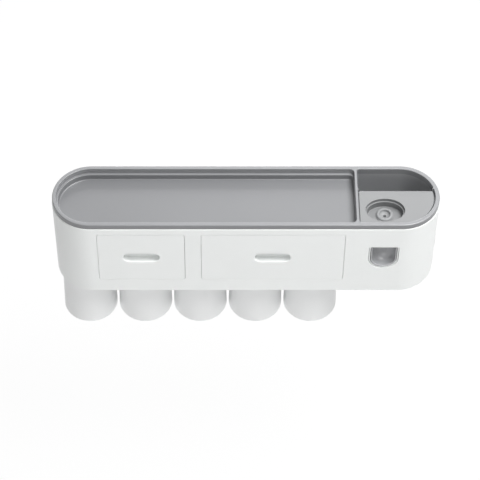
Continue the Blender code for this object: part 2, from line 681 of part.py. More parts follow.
def make_drawer(name, left, right, holder, finish):
    """A drawer with its front and box moulded in one, and a scooped finger recess in its front."""
    middle = (left + right) / 2
    half = (right - left) / 2 - DRAWER_SEAM
    low, high = -DRAWER_HEIGHT / 2 + DRAWER_SEAM, DRAWER_HEIGHT / 2 - DRAWER_SEAM
    corner = DRAWER_CORNER - DRAWER_SEAM

    def front_outline(inset):
        radii = [corner - inset] * 4
        return rounded_box(-half + inset, half - inset, low + inset, high - inset, radii, CORNER_STEPS)

    edge = ((DRAWER_EDGE_ROUND, 0), (0, DRAWER_EDGE_ROUND), (0, SHELL_WALL))
    rings = [upright(front_outline(inset), depth) for inset, depth in edge]
    place = (middle, -HALF_DEPTH, DRAWER_MIDDLE)
    drawer = piece(name, mesh_of(name, [rings]), holder, finish, place)
    side = half - DRAWER_BOX_INSET
    back = DRAWER_BACK + HALF_DEPTH
    floor = DRAWER_BOTTOM + SEAT_GAP - DRAWER_MIDDLE
    top = TRAY_BOTTOM - DRAWER_TOP_GAP - DRAWER_MIDDLE
    box = rounded_box(-side, side, SHELL_WALL - SEAT_GAP, back, [0] * 4, 1)
    shaped(drawer, "UNION", flat_prism(f"{name}_box", box, floor, top))
    inner = side - DRAWER_WALL
    room = rounded_box(-inner, inner, SHELL_WALL, back - DRAWER_WALL, [0] * 4, 1)
    shaped(drawer, "DIFFERENCE", flat_prism(f"{name}_room", room, floor + DRAWER_WALL, high + OVERRUN))
    bulge = scoop_rings(RECESS_WALL, RECESS_DEPTH + RECESS_WALL, SEAT_GAP)
    shaped(drawer, "UNION", mesh_of(f"{name}_bulge", [bulge]))
    shaped(drawer, "DIFFERENCE", mesh_of(f"{name}_scoop", [scoop_rings(0, RECESS_DEPTH + OVERRUN, -OVERRUN)]))


def boss_sites():
    """The two bosses under the deck, just outside the well's ends."""
    reach = WELL_LENGTH / 2 + WELL_WALL + SEAT_GAP
    return [(NOZZLE_X + side * reach, WELL_Y) for side in (-1, 1)]


def make_dispenser_deck(holder, finish):
    """The cover right of the divider, with the stepped oval well that the tube's neck stands in."""
    outline = right_outline(RIM_INSIDE + DECK_GAP, DECK_GAP, POCKET_FRONT, -1)
    data = flat_prism("dispenser_deck", outline, DECK_BOTTOM, DECK_TOP)
    deck = piece("dispenser_deck", data, holder, finish)
    half_x, half_y = WELL_LENGTH / 2, WELL_DEPTH / 2
    inside_deck = (DECK_TOP + DECK_BOTTOM) / 2
    wall = oval(NOZZLE_X, WELL_Y, half_x + WELL_WALL, half_y + WELL_WALL, WELL_SIDES)
    shaped(deck, "UNION", flat_prism("well_wall", wall, WELL_BOTTOM, inside_deck))
    for i, (x, y) in enumerate(boss_sites()):
        boss = circle(x, y, BOSS_RADIUS, SMALL_SIDES)
        shaped(deck, "UNION", flat_prism(f"deck_boss_{i}", boss, WELL_BOTTOM, inside_deck))
        hole = circle(x, y, SCREW_HOLE_RADIUS, SMALL_SIDES)
        high = WELL_BOTTOM + SCREW_BITE
        shaped(deck, "DIFFERENCE", flat_prism(f"boss_hole_{i}", hole, WELL_BOTTOM - OVERRUN, high))
    steps = ((0, DECK_TOP + OVERRUN), (0, -WELL_STEP_DROP), (WELL_STEP, -WELL_STEP_DROP))
    steps += ((WELL_STEP, -WELL_DROP),)
    well = [level(oval(NOZZLE_X, WELL_Y, half_x - i, half_y - i, WELL_SIDES), z) for i, z in steps]
    shaped(deck, "DIFFERENCE", mesh_of("well", [well]))
    hole = circle(NOZZLE_X, NOZZLE_Y, SOCKET_NECK_RADIUS + SIDE_GAP, TURNED_SIDES)
    shaped(deck, "DIFFERENCE", flat_prism("socket_hole", hole, WELL_BOTTOM - OVERRUN, -WELL_DROP + OVERRUN))


def make_tube_socket(holder, finish):
    """The soft round socket that grips the tube's neck, with a funnel down to the pump."""
    top = SOCKET_FOOT + SOCKET_RISE
    neck_end = SOCKET_FOOT - SOCKET_NECK_LENGTH
    funnel_end = SOCKET_FOOT - SOCKET_RISE
    profile = [(SOCKET_RADIUS - SOCKET_ROUND, top), (SOCKET_RADIUS, top - SOCKET_ROUND)]
    profile += [(SOCKET_RADIUS, SOCKET_FOOT), (SOCKET_NECK_RADIUS, SOCKET_FOOT)]
    profile += [(SOCKET_NECK_RADIUS, neck_end), (SOCKET_BORE_RADIUS, neck_end)]
    profile += [(SOCKET_BORE_RADIUS, funnel_end), (SOCKET_MOUTH_RADIUS - SOCKET_ROUND, top - SOCKET_ROUND)]
    profile += [(SOCKET_MOUTH_RADIUS, top)]
    rings = turned_rings(profile, NOZZLE_X, NOZZLE_Y, TURNED_SIDES)
    piece("tube_socket", mesh_of("tube_socket", [rings], closed=True), holder, finish)


def make_pump_housing(holder, finish):
    """The pump's body: flange, inlet neck, manifold over the window and barrel behind the paddle."""
    reach = WELL_LENGTH / 2 + WELL_WALL + SEAT_GAP + BOSS_RADIUS
    low_y, high_y = WELL_Y - FLANGE_DEPTH / 2, WELL_Y + FLANGE_DEPTH / 2
    radii = [BOSS_RADIUS] * 4
    flange = rounded_box(NOZZLE_X - reach, NOZZLE_X + reach, low_y, high_y, radii, CORNER_STEPS)
    housing = piece(
        "pump_housing", flat_prism("pump_housing", flange, FLANGE_BOTTOM, FLANGE_TOP), holder, finish
    )
    seat_radius = SOCKET_NECK_RADIUS + SIDE_GAP
    neck = circle(NOZZLE_X, NOZZLE_Y, seat_radius + NECK_WALL, TURNED_SIDES)
    neck_top = FLANGE_TOP - FLANGE_THICKNESS / 2
    shaped(housing, "UNION", flat_prism("neck", neck, MANIFOLD_TOP - OVERRUN, neck_top))
    half = MANIFOLD_HALF_WIDTH
    front = -WALL_INSIDE + MANIFOLD_FRONT_GAP
    inlet_y = (BARREL_FRONT + BARREL_BACK) / 2
    back = inlet_y + COLUMN_HALF_WIDTH + OVERRUN
    manifold = rounded_box(NOZZLE_X - half, NOZZLE_X + half, front, back, [0] * 4, 1)
    shaped(housing, "UNION", flat_prism("manifold", manifold, MANIFOLD_BOTTOM, MANIFOLD_TOP))
    half = COLUMN_HALF_WIDTH
    column = rounded_box(NOZZLE_X - half, NOZZLE_X + half, inlet_y - half, inlet_y + half, [0] * 4, 1)
    shaped(housing, "UNION", flat_prism("column", column, PADDLE_AXIS, MANIFOLD_BOTTOM + OVERRUN))
    barrel = [(BARREL_RADIUS, BARREL_FRONT), (BARREL_RADIUS, BARREL_BACK)]
    barrel = bored_rings(barrel, NOZZLE_X, PADDLE_AXIS, TURNED_SIDES)
    shaped(housing, "UNION", mesh_of("barrel", [barrel]))
    seat = circle(NOZZLE_X, NOZZLE_Y, seat_radius, TURNED_SIDES)
    seat_floor = SOCKET_FOOT - SOCKET_NECK_LENGTH - OVERRUN
    shaped(housing, "DIFFERENCE", flat_prism("socket_seat", seat, seat_floor, FLANGE_TOP + OVERRUN))
    inlet = circle(NOZZLE_X, NOZZLE_Y, NECK_BORE_RADIUS, SMALL_SIDES)
    shaped(housing, "DIFFERENCE", flat_prism("inlet", inlet, DUCT_MIDDLE, seat_floor + OVERRUN))
    half = DUCT_HALF_WIDTH
    low, high = DUCT_MIDDLE - DUCT_HEIGHT / 2, DUCT_MIDDLE + DUCT_HEIGHT / 2
    duct = rounded_box(NOZZLE_X - half, NOZZLE_X + half, OUTLET_Y - half, inlet_y + half, [0] * 4, 1)
    shaped(housing, "DIFFERENCE", flat_prism("duct", duct, low, high))
    outlet = circle(NOZZLE_X, OUTLET_Y, OUTLET_BORE_RADIUS, SMALL_SIDES)
    shaped(housing, "DIFFERENCE", flat_prism("outlet", outlet, MANIFOLD_BOTTOM - OVERRUN, DUCT_MIDDLE))
    drop = circle(NOZZLE_X, inlet_y, DROP_RADIUS, SMALL_SIDES)
    shaped(housing, "DIFFERENCE", flat_prism("drop", drop, PADDLE_AXIS, DUCT_MIDDLE))
    bore = [(BARREL_BORE_RADIUS, BARREL_FRONT - OVERRUN), (BARREL_BORE_RADIUS, BARREL_BACK - BARREL_END)]
    bore = bored_rings(bore, NOZZLE_X, PADDLE_AXIS, TURNED_SIDES)
    shaped(housing, "DIFFERENCE", mesh_of("bore", [bore]))
    for i, (x, y) in enumerate(boss_sites()):
        hole = circle(x, y, SCREW_CLEARANCE_RADIUS, SMALL_SIDES)
        shaped(
            housing,
            "DIFFERENCE",
            flat_prism(f"flange_hole_{i}", hole, FLANGE_BOTTOM - OVERRUN, FLANGE_TOP + OVERRUN),
        )


def make_outlet_valve(holder, finish):
    """The soft nozzle under the manifold that the paste comes out of, above the paddle's scoop."""
    top = MANIFOLD_BOTTOM - SEAT_GAP
    tip = top - OUTLET_LENGTH
    shoulder = top - OUTLET_COLLAR
    profile = [(OUTLET_RADIUS, top), (OUTLET_RADIUS, shoulder), (OUTLET_TIP_RADIUS, tip)]
    profile += [(OUTLET_BORE_RADIUS, tip), (OUTLET_BORE_RADIUS, top)]
    rings = turned_rings(profile, NOZZLE_X, OUTLET_Y, SMALL_SIDES)
    piece("outlet_valve", mesh_of("outlet_valve", [rings], closed=True), holder, finish)


def make_barrel_cap(holder, finish):
    """The ring that closes the barrel round the rod, and that the spring pushes against."""
    outer, inner = BARREL_RADIUS, ROD_RADIUS + SIDE_GAP
    profile = [(outer, CAP_FRONT), (outer, CAP_BACK), (inner, CAP_BACK), (inner, CAP_FRONT)]
    rings = bored_rings(profile, NOZZLE_X, PADDLE_AXIS, TURNED_SIDES)
    piece("barrel_cap", mesh_of("barrel_cap", [rings], closed=True), holder, finish)


def make_window_bezel(holder, finish):
    """The thin frame pressed into the window."""
    front = -HALF_DEPTH + BEZEL_INSET
    back = front + BEZEL_DEPTH
    outer, inner = BEZEL_SIDE_GAP, BEZEL_SIDE_GAP + BEZEL_WIDTH
    rings = [upright(window_outline(inset), y) for inset, y in ((outer, front), (outer, back))]
    rings += [upright(window_outline(inset), y) for inset, y in ((inner, back), (inner, front))]
    piece("window_bezel", mesh_of("window_bezel", [rings], closed=True), holder, finish)


def make_push_paddle(holder, finish):
    """The scoop that the brush pushes back, open at its top under the outlet, with a boss for the rod."""
    slide = empty("paddle_slide", holder, (0, 0, 0))
    edge = BEZEL_SIDE_GAP + BEZEL_WIDTH + PADDLE_SIDE_GAP
    data = deep_prism("push_paddle", window_outline(edge), PADDLE_FRONT, PADDLE_BACK)
    paddle = piece("push_paddle", data, slide, finish)
    deepest = PADDLE_BACK - PADDLE_WALL
    scoop = [upright(window_outline(edge + PADDLE_LIP, WINDOW_TOP + WINDOW_CORNER), PADDLE_FRONT - OVERRUN)]
    for i in range(SCOOP_STEPS + 1):
        turn = math.radians(90 * i / SCOOP_STEPS)
        inset = edge + PADDLE_LIP + SCOOP_FLOOR_INSET * (1 - math.cos(turn))
        outline = window_outline(inset, WINDOW_TOP + WINDOW_CORNER + inset)
        scoop.append(upright(outline, PADDLE_FRONT + (deepest - PADDLE_FRONT) * math.sin(turn)))
    shaped(paddle, "DIFFERENCE", mesh_of("paddle_scoop", [scoop]))
    boss = [(PADDLE_BOSS_RADIUS, PADDLE_BACK - PADDLE_WALL / 2), (PADDLE_BOSS_RADIUS, BOSS_BACK)]
    boss = bored_rings(boss, NOZZLE_X, PADDLE_AXIS, TURNED_SIDES)
    shaped(paddle, "UNION", mesh_of("paddle_boss", [boss]))
    socket = [(ROD_RADIUS + SEAT_GAP, PADDLE_BACK), (ROD_RADIUS + SEAT_GAP, BOSS_BACK + OVERRUN)]
    socket = bored_rings(socket, NOZZLE_X, PADDLE_AXIS, SMALL_SIDES)
    shaped(paddle, "DIFFERENCE", mesh_of("rod_socket", [socket]))
    return slide


def make_plunger(slide, finish, seal_finish):
    """The rod and piston that the paddle drives, with a rubber seal in the piston's groove."""
    groove_front = PISTON_FRONT + (PISTON_LENGTH - GROOVE_WIDTH) / 2
    groove_back = groove_front + GROOVE_WIDTH
    back = PISTON_FRONT + PISTON_LENGTH
    profile = [(ROD_RADIUS, PADDLE_BACK + SEAT_GAP), (ROD_RADIUS, PISTON_FRONT)]
    profile += [(PISTON_RADIUS, PISTON_FRONT), (PISTON_RADIUS, groove_front)]
    profile += [(GROOVE_RADIUS, groove_front), (GROOVE_RADIUS, groove_back)]
    profile += [(PISTON_RADIUS, groove_back), (PISTON_RADIUS, back)]
    rings = bored_rings(profile, NOZZLE_X, PADDLE_AXIS, SMALL_SIDES)
    piece("pump_plunger", mesh_of("pump_plunger", [rings]), slide, finish)
    outer, inner = BARREL_BORE_RADIUS - SEAT_GAP, GROOVE_RADIUS + SEAT_GAP
    front, back = groove_front + SEAT_GAP, groove_back - SEAT_GAP
    profile = [(outer, front), (outer, back), (inner, back), (inner, front)]
    rings = bored_rings(profile, NOZZLE_X, PADDLE_AXIS, SMALL_SIDES)
    piece("piston_seal", mesh_of("piston_seal", [rings], closed=True), slide, seal_finish)


def make_return_spring(holder, finish):
    """The coil spring round the paddle's boss, between the paddle's back and the barrel's cap."""
    radius = PADDLE_BOSS_RADIUS + SIDE_GAP + SPRING_WIRE_RADIUS
    start = PADDLE_BACK + SEAT_GAP + SPRING_WIRE_RADIUS
    end = CAP_FRONT - SEAT_GAP - SPRING_WIRE_RADIUS
    count = SPRING_TURNS * SPRING_POINTS
    curve = bpy.data.curves.new("return_spring", "CURVE")
    curve.dimensions = "3D"
    curve.bevel_depth = SPRING_WIRE_RADIUS
    curve.bevel_resolution = 1
    curve.use_fill_caps = True
    wire = curve.splines.new("POLY")
    wire.points.add(count)
    for i, point in enumerate(wire.points):
        turn = 2 * math.pi * i / SPRING_POINTS
        x, z = radius * math.cos(turn), radius * math.sin(turn)
        y = start + (end - start) * i / count
        point.co = (NOZZLE_X + x, y, PADDLE_AXIS + z, 1)
    piece("return_spring", curve, holder, finish)


def make_screws(holder, finish):
    """Self-tapping screws, all driven from below: base plate, brush comb and dispenser."""
    tip = BASE_THICKNESS + SCREW_BITE - OVERRUN
    profile = [(SCREW_HEAD_RADIUS, -SCREW_HEAD_HEIGHT), (SCREW_HEAD_RADIUS, 0), (SCREW_RADIUS, 0)]
    profile += [(SCREW_RADIUS, tip)]
    screw = mesh_of("screw", [turned_rings(profile, 0, 0, SMALL_SIDES)])
    base = []
    for x, y, plate_top in base_screw_sites():
        thickness = BASE_THICKNESS if plate_top == BASE_TOP else BAY_WALL
        base.append((x, y, plate_top - thickness - SEAT_GAP))
    comb = [(x, y, COMB_BOTTOM - SEAT_GAP) for x, y in comb_screw_sites()]
    dispenser = [(x, y, FLANGE_BOTTOM - SEAT_GAP) for x, y in boss_sites()]
    for name, places in (("base", base), ("comb", comb), ("dispenser", dispenser)):
        for i, place in enumerate(places):
            piece(f"{name}_screw_{i + 1}", screw.copy(), holder, finish, place)


def make_wall_plate(finish, pad_finish):
    """The plate stuck to the wall, with two hooks whose tongues stand up behind the body's back wall."""
    half_x, half_z = PLATE_WIDTH / 2, PLATE_HEIGHT / 2
    outline = rounded_box(-half_x, half_x, -half_z, half_z, [PLATE_CORNER] * 4, CORNER_STEPS)
    plate_back = PAD_THICKNESS + SEAT_GAP
    plate = piece("wall_plate", deep_prism("wall_plate", outline, -PLATE_FRONT, -plate_back), None, finish)
    tongue_back = BODY_BACK + SHELL_WALL + SEAT_GAP
    tongue_front = BODY_BACK + TONGUE_REACH
    stem_top = -SEAT_GAP
    stem_low = stem_top - HOOK_STEM_HEIGHT
    for side in (-1, 1):
        low, high = (side * HOOK_SPACING / 2 + end * HOOK_WIDTH / 2 for end in (-1, 1))
        stem = rounded_box(low, high, stem_low, stem_top, [0] * 4, 1)
        stem_back = PLATE_FRONT - OVERRUN
        shaped(plate, "UNION", deep_prism(f"hook_stem_{side + 1}", stem, -tongue_front, -stem_back))
        tongue = rounded_box(low, high, stem_low, TONGUE_HEIGHT, [0] * 4, 1)
        shaped(plate, "UNION", deep_prism(f"hook_tongue_{side + 1}", tongue, -tongue_front, -tongue_back))
    half_x, half_z = half_x - PAD_MARGIN, half_z - PAD_MARGIN
    outline = rounded_box(-half_x, half_x, -half_z, half_z, [PLATE_CORNER] * 4, CORNER_STEPS)
    piece("adhesive_pad", deep_prism("adhesive_pad", outline, -PAD_THICKNESS, 0), None, pad_finish)


def main():
    """Clears the scene and builds every piece in its place."""
    for old in list(bpy.data.objects):
        bpy.data.objects.remove(old)
    white = material("white_moulded", (0.80, 0.81, 0.81), 0.35)
    inner_white = material("white_inner", (0.72, 0.73, 0.73), 0.45)
    grey = material("grey_moulded", (0.33, 0.34, 0.35), 0.40)
    deck_grey = material("deck_grey", (0.45, 0.46, 0.47), 0.40)
    paddle_grey = material("paddle_grey", (0.40, 0.41, 0.43), 0.25)
    cup_white = material("cup_white", (0.74, 0.75, 0.76), 0.30)
    rubber = material("soft_grey", (0.42, 0.42, 0.43), 0.60)
    steel = material("bright_steel", (0.60, 0.60, 0.60), 0.30, metallic=1.0)
    magnet = material("magnet_nickel", (0.50, 0.50, 0.50), 0.25, metallic=1.0)
    foam = material("adhesive_foam", (0.60, 0.60, 0.60), 0.80)
    holder = empty("holder", None, (0, -BODY_BACK - HALF_DEPTH, PLATE_CENTRE_DROP))
    make_wall_plate(inner_white, foam)
    make_body_shell(holder, white)
    make_top_tray(holder, grey)
    make_base_plate(holder, inner_white)
    make_brush_comb(holder, inner_white)
    make_magnets(holder, magnet)
    make_cups(holder, cup_white, steel)
    make_drawer("small_drawer", SMALL_DRAWER_LEFT, SMALL_DRAWER_RIGHT, holder, white)
    make_drawer("large_drawer", LARGE_DRAWER_LEFT, LARGE_DRAWER_RIGHT, holder, white)
    make_dispenser_deck(holder, deck_grey)
    make_tube_socket(holder, rubber)
    make_pump_housing(holder, inner_white)
    make_barrel_cap(holder, inner_white)
    make_outlet_valve(holder, rubber)
    make_window_bezel(holder, white)
    slide = make_push_paddle(holder, paddle_grey)
    make_plunger(slide, inner_white, rubber)
    make_return_spring(holder, steel)
    make_screws(holder, steel)


main()
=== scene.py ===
import math

import bmesh
import bpy
from mathutils import Matrix, Vector


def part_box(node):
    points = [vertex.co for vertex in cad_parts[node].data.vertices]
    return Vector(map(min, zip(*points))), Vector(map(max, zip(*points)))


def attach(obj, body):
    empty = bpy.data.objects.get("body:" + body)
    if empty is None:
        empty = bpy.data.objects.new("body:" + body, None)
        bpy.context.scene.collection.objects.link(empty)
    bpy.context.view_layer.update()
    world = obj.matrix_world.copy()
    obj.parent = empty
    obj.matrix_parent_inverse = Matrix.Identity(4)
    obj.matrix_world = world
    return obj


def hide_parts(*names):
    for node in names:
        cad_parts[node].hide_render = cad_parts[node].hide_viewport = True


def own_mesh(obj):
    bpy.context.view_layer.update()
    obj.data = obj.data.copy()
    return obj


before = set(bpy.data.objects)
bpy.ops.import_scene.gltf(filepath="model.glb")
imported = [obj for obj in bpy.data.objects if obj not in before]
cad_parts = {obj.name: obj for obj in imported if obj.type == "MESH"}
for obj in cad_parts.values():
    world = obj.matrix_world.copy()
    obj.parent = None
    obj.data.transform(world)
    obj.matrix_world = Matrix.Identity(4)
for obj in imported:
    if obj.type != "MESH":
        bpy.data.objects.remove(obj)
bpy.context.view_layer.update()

# The body shell is one injection moulding in white ABS, open above and below. Its front has the two
# drawer openings and the dispenser window, its back the two slots that the wall hooks reach through, and
# five posts inside take the screws of the base plate. The mould leaves every edge with a small round.
same_place = 0.000002


def work_on(piece):
    """Puts down whatever is selected and takes up one piece."""
    bpy.ops.object.select_all(action="DESELECT")
    piece.select_set(True)
    bpy.context.view_layer.objects.active = piece


def place_in_mesh(piece):
    """Moves a piece's place, turn and scale into its mesh, which leaves the object at the origin."""
    work_on(piece)
    bpy.ops.object.transform_apply(location=True, rotation=True, scale=True)


def block(name, low, high):
    """A plain block between two corners, with its place in its mesh."""
    bpy.ops.object.select_all(action="DESELECT")
    low, high = Vector(low), Vector(high)
    bpy.ops.mesh.primitive_cube_add(size=1, location=(low + high) / 2, scale=high - low)
    made = bpy.context.object
    made.name = name
    place_in_mesh(made)
    return made


def post(name, x, y, low, high, radius, sides=48):
    """A plain upright cylinder between two heights."""
    bpy.ops.object.select_all(action="DESELECT")
    middle = (x, y, (low + high) / 2)
    bpy.ops.mesh.primitive_cylinder_add(vertices=sides, radius=radius, depth=high - low, location=middle)
    made = bpy.context.object
    made.name = name
    place_in_mesh(made)
    return made


def runs_along(axis, share=0.999):
    """A test for an edge that runs along one axis: 0 is X, 1 is Y and 2 is Z. share is how nearly."""
    return lambda a, b: abs((b - a).normalized()[axis]) > share


def lies_at(axis, place, slack=0.00005):
    """A test for an edge whose two ends lie at one place along an axis."""
    return lambda a, b: abs(a[axis] - place) < slack and abs(b[axis] - place) < slack


def within(left, right, bottom, top):
    """A test for an edge whose two ends lie between two places along X and two heights."""
    return lambda a, b: all(left < p.x < right and bottom < p.z < top for p in (a, b))


def round_edges(piece, tests, radius, steps, sharp=25):
    """Bevels the edges that pass every test and stand out by more than an angle in degrees, and closes up
    what the bevel leaves doubled."""
    work_on(piece)
    bpy.ops.object.mode_set(mode="EDIT")
    bpy.ops.mesh.select_mode(type="EDGE")
    bpy.ops.mesh.select_all(action="DESELECT")
    shape = bmesh.from_edit_mesh(piece.data)
    for edge in shape.edges:
        a, b = (vert.co for vert in edge.verts)
        standing = edge.calc_face_angle_signed(0) > math.radians(sharp)
        edge.select_set(standing and all(test(a, b) for test in tests))
    bmesh.update_edit_mesh(piece.data)
    bpy.ops.mesh.bevel(offset=radius, segments=steps, affect="EDGES")
    bpy.ops.mesh.select_all(action="SELECT")
    bpy.ops.mesh.remove_doubles(threshold=same_place)
    bpy.ops.object.mode_set(mode="OBJECT")


def combine(piece, tool, operation="DIFFERENCE"):
    """Cuts a tool out of a piece, joins it on, or keeps only what lies in both, and puts the tool away."""
    work_on(piece)
    change = piece.modifiers.new("change", "BOOLEAN")
    change.operation = operation
    change.object = tool
    change.solver = "EXACT"
    bpy.ops.object.modifier_apply(modifier=change.name)
    bpy.data.objects.remove(tool)


def soften(piece, width, steps=2, sharp=30):
    """Breaks the sharp edges of a piece with the small round that its mould leaves."""
    work_on(piece)
    edge = piece.modifiers.new("edge", "BEVEL")
    edge.width = width
    edge.segments = steps
    edge.limit_method = "ANGLE"
    edge.angle_limit = math.radians(sharp)
    edge.use_clamp_overlap = True
    bpy.ops.object.modifier_apply(modifier=edge.name)


def smooth(piece, sharp=35):
    """Shades a piece smoothly, with its large faces kept flat."""
    work_on(piece)
    bpy.ops.object.shade_smooth_by_angle(angle=math.radians(sharp))
    weight = piece.modifiers.new("flat", "WEIGHTED_NORMAL")
    weight.keep_sharp = True
    bpy.ops.object.modifier_apply(modifier=weight.name)


def settle(piece, material, body, slot, *nodes):
    """Gives a finished piece its material and its body, and hides the CAD nodes that it stands for. slot is
    not used.
    """
    piece.data.materials.clear()
    piece.data.materials.append(material)
    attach(piece, body)
    if nodes:
        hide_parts(*nodes)


def linear(colour):
    """Turns an sRGB hex colour into the linear colour that a shader takes."""
    parts = [int(colour[i:i + 2], 16) / 255 for i in (0, 2, 4)]
    return [p / 12.92 if p <= 0.04045 else ((p + 0.055) / 1.055) ** 2.4 for p in parts] + [1.0]


def link(owner, source, output, node, socket):
    """Links an output of one node to a socket of another."""
    owner.node_tree.links.new(source.outputs[output], node.inputs[socket])


def add(owner, kind, settings=None, **links):
    """Adds a node, sets its sockets and properties by name, and links sockets to other nodes' outputs."""
    node = owner.node_tree.nodes.new(kind)
    for name, value in (settings or {}).items():
        if name in node.inputs:
            node.inputs[name].default_value = value
        else:
            setattr(node, name, value)
    for name, (source, output) in links.items():
        link(owner, source, output, node, name)
    return node


def new_material(name):
    """A new material and its shader."""
    material = bpy.data.materials.new(name)
    material.use_nodes = True
    return material, material.node_tree.nodes["Principled BSDF"]


# A Mix node has sockets for several kinds of value. These are the places of the two colours and the result.
first_colour, second_colour, mixed_colour = 6, 7, 2


def moulded(name, pale, deep, roughness, ior, grain, relief):
    """An injection-moulded plastic: its tone drifts slightly over the piece, as the melt cools unevenly,
    and its surface has the spark-eroded grain of the mould. grain is the size of one pit and relief its
    depth. Real pits are about 0.1 mm across, and they are drawn coarser, so that they show."""
    drift_size = 0.045
    drift_roughness = 0.03
    pit_strength = 0.35
    material, shader = new_material(name)
    shader.inputs["IOR"].default_value = ior
    place = add(material, "ShaderNodeTexCoord")
    drift = add(
        material, "ShaderNodeTexNoise", {"Scale": 1 / drift_size, "Detail": 2.0}, Vector=(place, "Object")
    )
    tone = add(material, "ShaderNodeMix", {"data_type": "RGBA"}, Factor=(drift, "Fac"))
    tone.inputs[first_colour].default_value = linear(deep)
    tone.inputs[second_colour].default_value = linear(pale)
    rough = add(
        material, "ShaderNodeMapRange",
        {"To Min": roughness - drift_roughness, "To Max": roughness + drift_roughness},
        Value=(drift, "Fac"),
    )
    pits = add(
        material, "ShaderNodeTexNoise", {"Scale": 1 / grain, "Detail": 1.0}, Vector=(place, "Object")
    )
    bump = add(
        material, "ShaderNodeBump", {"Strength": pit_strength, "Distance": relief}, Height=(pits, "Fac")
    )
    link(material, tone, mixed_colour, shader, "Base Color")
    link(material, rough, "Result", shader, "Roughness")
    link(material, bump, "Normal", shader, "Normal")
    return material


# White ABS from a mould with a satin, spark-eroded face: pale and even, with a soft sheen on its rounds.
white_abs = moulded(
    "white_abs_satin_moulded", "EEF0EF", "EAECEB", roughness=0.34, ior=1.54, grain=0.0007, relief=0.00001
)

body_low, body_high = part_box("body_shell")
half_depth = (body_high.y - body_low.y) / 2
middle_y = (body_high.y + body_low.y) / 2
shell_wall = 0.0025
top_edge_round = 0.0012
joint_drop = 0.0005
edge_round = 0.0003
overrun = 0.001
end_steps = 40
nearly_half = 0.99999


def long_block(name, inset, low, high):
    """A block on the body's plan, drawn in by inset, with half-round ends."""
    made = block(
        name,
        (body_low.x + inset, body_low.y + inset, low),
        (body_high.x - inset, body_high.y - inset, high),
    )
    round_edges(made, [runs_along(2)], (half_depth - inset) * nearly_half, end_steps)
    return made


shell_top = body_high.z - joint_drop
shell = long_block("white_body_shell", 0, body_low.z, shell_top)
for height in (shell_top, body_low.z):
    round_edges(shell, [lies_at(2, height)], top_edge_round, steps=4)
combine(shell, long_block("hollow", shell_wall, body_low.z - overrun, body_high.z + overrun))

drawer_corner = 0.0030
drawer_seam = 0.0005
drawer_height = 0.0783
drawer_drop = 0.0158
opening_round = 0.0005
tray_low, tray_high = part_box("top_tray")
rim_top = tray_high.z
drawer_top = rim_top - drawer_drop
drawer_bottom = drawer_top - drawer_height
small_low, small_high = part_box("small_drawer")
large_low, large_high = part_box("large_drawer")
for low, high in ((small_low, small_high), (large_low, large_high)):
    left, right = low.x - drawer_seam, high.x + drawer_seam
    opening = block(
        "opening",
        (left, body_low.y - overrun, drawer_bottom),
        (right, body_low.y + shell_wall + overrun, drawer_top),
    )
    round_edges(opening, [runs_along(1)], drawer_corner, steps=8)
    combine(shell, opening)
    outline = within(
        left - edge_round, right + edge_round, drawer_bottom - edge_round, drawer_top + edge_round
    )
    round_edges(shell, [lies_at(1, body_low.y), outline], opening_round, steps=3)

bezel_gap = 0.00015
window_corner = 0.0030
window_low, window_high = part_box("window_bezel")


def window_block(name, inset, front, back, rise=0):
    """A block on the window's outline, drawn in by inset: a flat top with small corners and a half-round
    bottom. rise lifts its top."""
    low = Vector((window_low.x - bezel_gap + inset, front, window_low.z - bezel_gap + inset))
    high = Vector((window_high.x + bezel_gap - inset, back, window_high.z + bezel_gap - inset + rise))
    made = block(name, low, high)
    if inset < window_corner:
        round_edges(made, [runs_along(1), lies_at(2, high.z)], window_corner - inset, steps=6)
    round_edges(made, [runs_along(1), lies_at(2, low.z)], (high.x - low.x) / 2 * nearly_half, steps=24)
    return made


combine(shell, window_block("opening", 0, body_low.y - overrun, body_low.y + shell_wall + overrun))

hook_spacing = 0.2000
slot_width = 0.0170
slot_height = 0.0150
for side in (-1, 1):
    x = side * hook_spacing / 2
    slot = block(
        "slot",
        (x - slot_width / 2, body_high.y - shell_wall - overrun, -slot_height),
        (x + slot_width / 2, body_high.y + overrun, 0),
    )
    combine(shell, slot)
soften(shell, edge_round)

# Five posts stand up inside the shell, moulded with it and sunk a little way into its wall. A screw of
# the base plate bites into the blind hole of each.
seat_gap = 0.0003
post_radius = 0.0038
post_bite = 0.0006
post_height = 0.0140
post_inset = shell_wall - post_bite + post_radius
left_post_turn = 50
right_post_turn = -45
screw_hole_radius = 0.0017
screw_bite = 0.0090
base_floor = 0.0036
ceiling_thickness = 0.0020
cup_count = 5
cup_boxes = [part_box(f"cup_{i + 1}") for i in range(cup_count)]
base_bottom = cup_boxes[0][1].z + seat_gap
base_top = base_bottom + base_floor
ceiling_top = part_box("base_plate")[1].z
ceiling_bottom = ceiling_top - ceiling_thickness
end_centre = body_high.x - half_depth


def on_end(side, angle, inset):
    """A point on the plan's round end on one side, at an angle from the X axis and an inset."""
    turn = math.radians(angle)
    reach = half_depth - inset
    return side * (end_centre + reach * math.cos(turn)), middle_y + reach * math.sin(turn)


def screw_post(piece, x, y, low, high):
    """Joins an upright post to a piece, with a blind hole in its foot for a screw."""
    combine(piece, post("post", x, y, low, high, post_radius), "UNION")
    combine(piece, post("hole", x, y, low - overrun, low + screw_bite + overrun, screw_hole_radius))


between_drawers = (small_high.x + large_low.x) / 2
base_screw_sites = [(*on_end(-1, turn, post_inset), base_top) for turn in (-left_post_turn, left_post_turn)]
base_screw_sites += [(between_drawers, middle_y + s * (half_depth - post_inset), base_top) for s in (-1, 1)]
base_screw_sites += [(*on_end(1, right_post_turn, post_inset), ceiling_top)]
for x, y, foot in base_screw_sites:
    screw_post(shell, x, y, foot + seat_gap, foot + seat_gap + post_height)
smooth(shell)
settle(shell, white_abs, "holder", "shell_white", "body_shell")

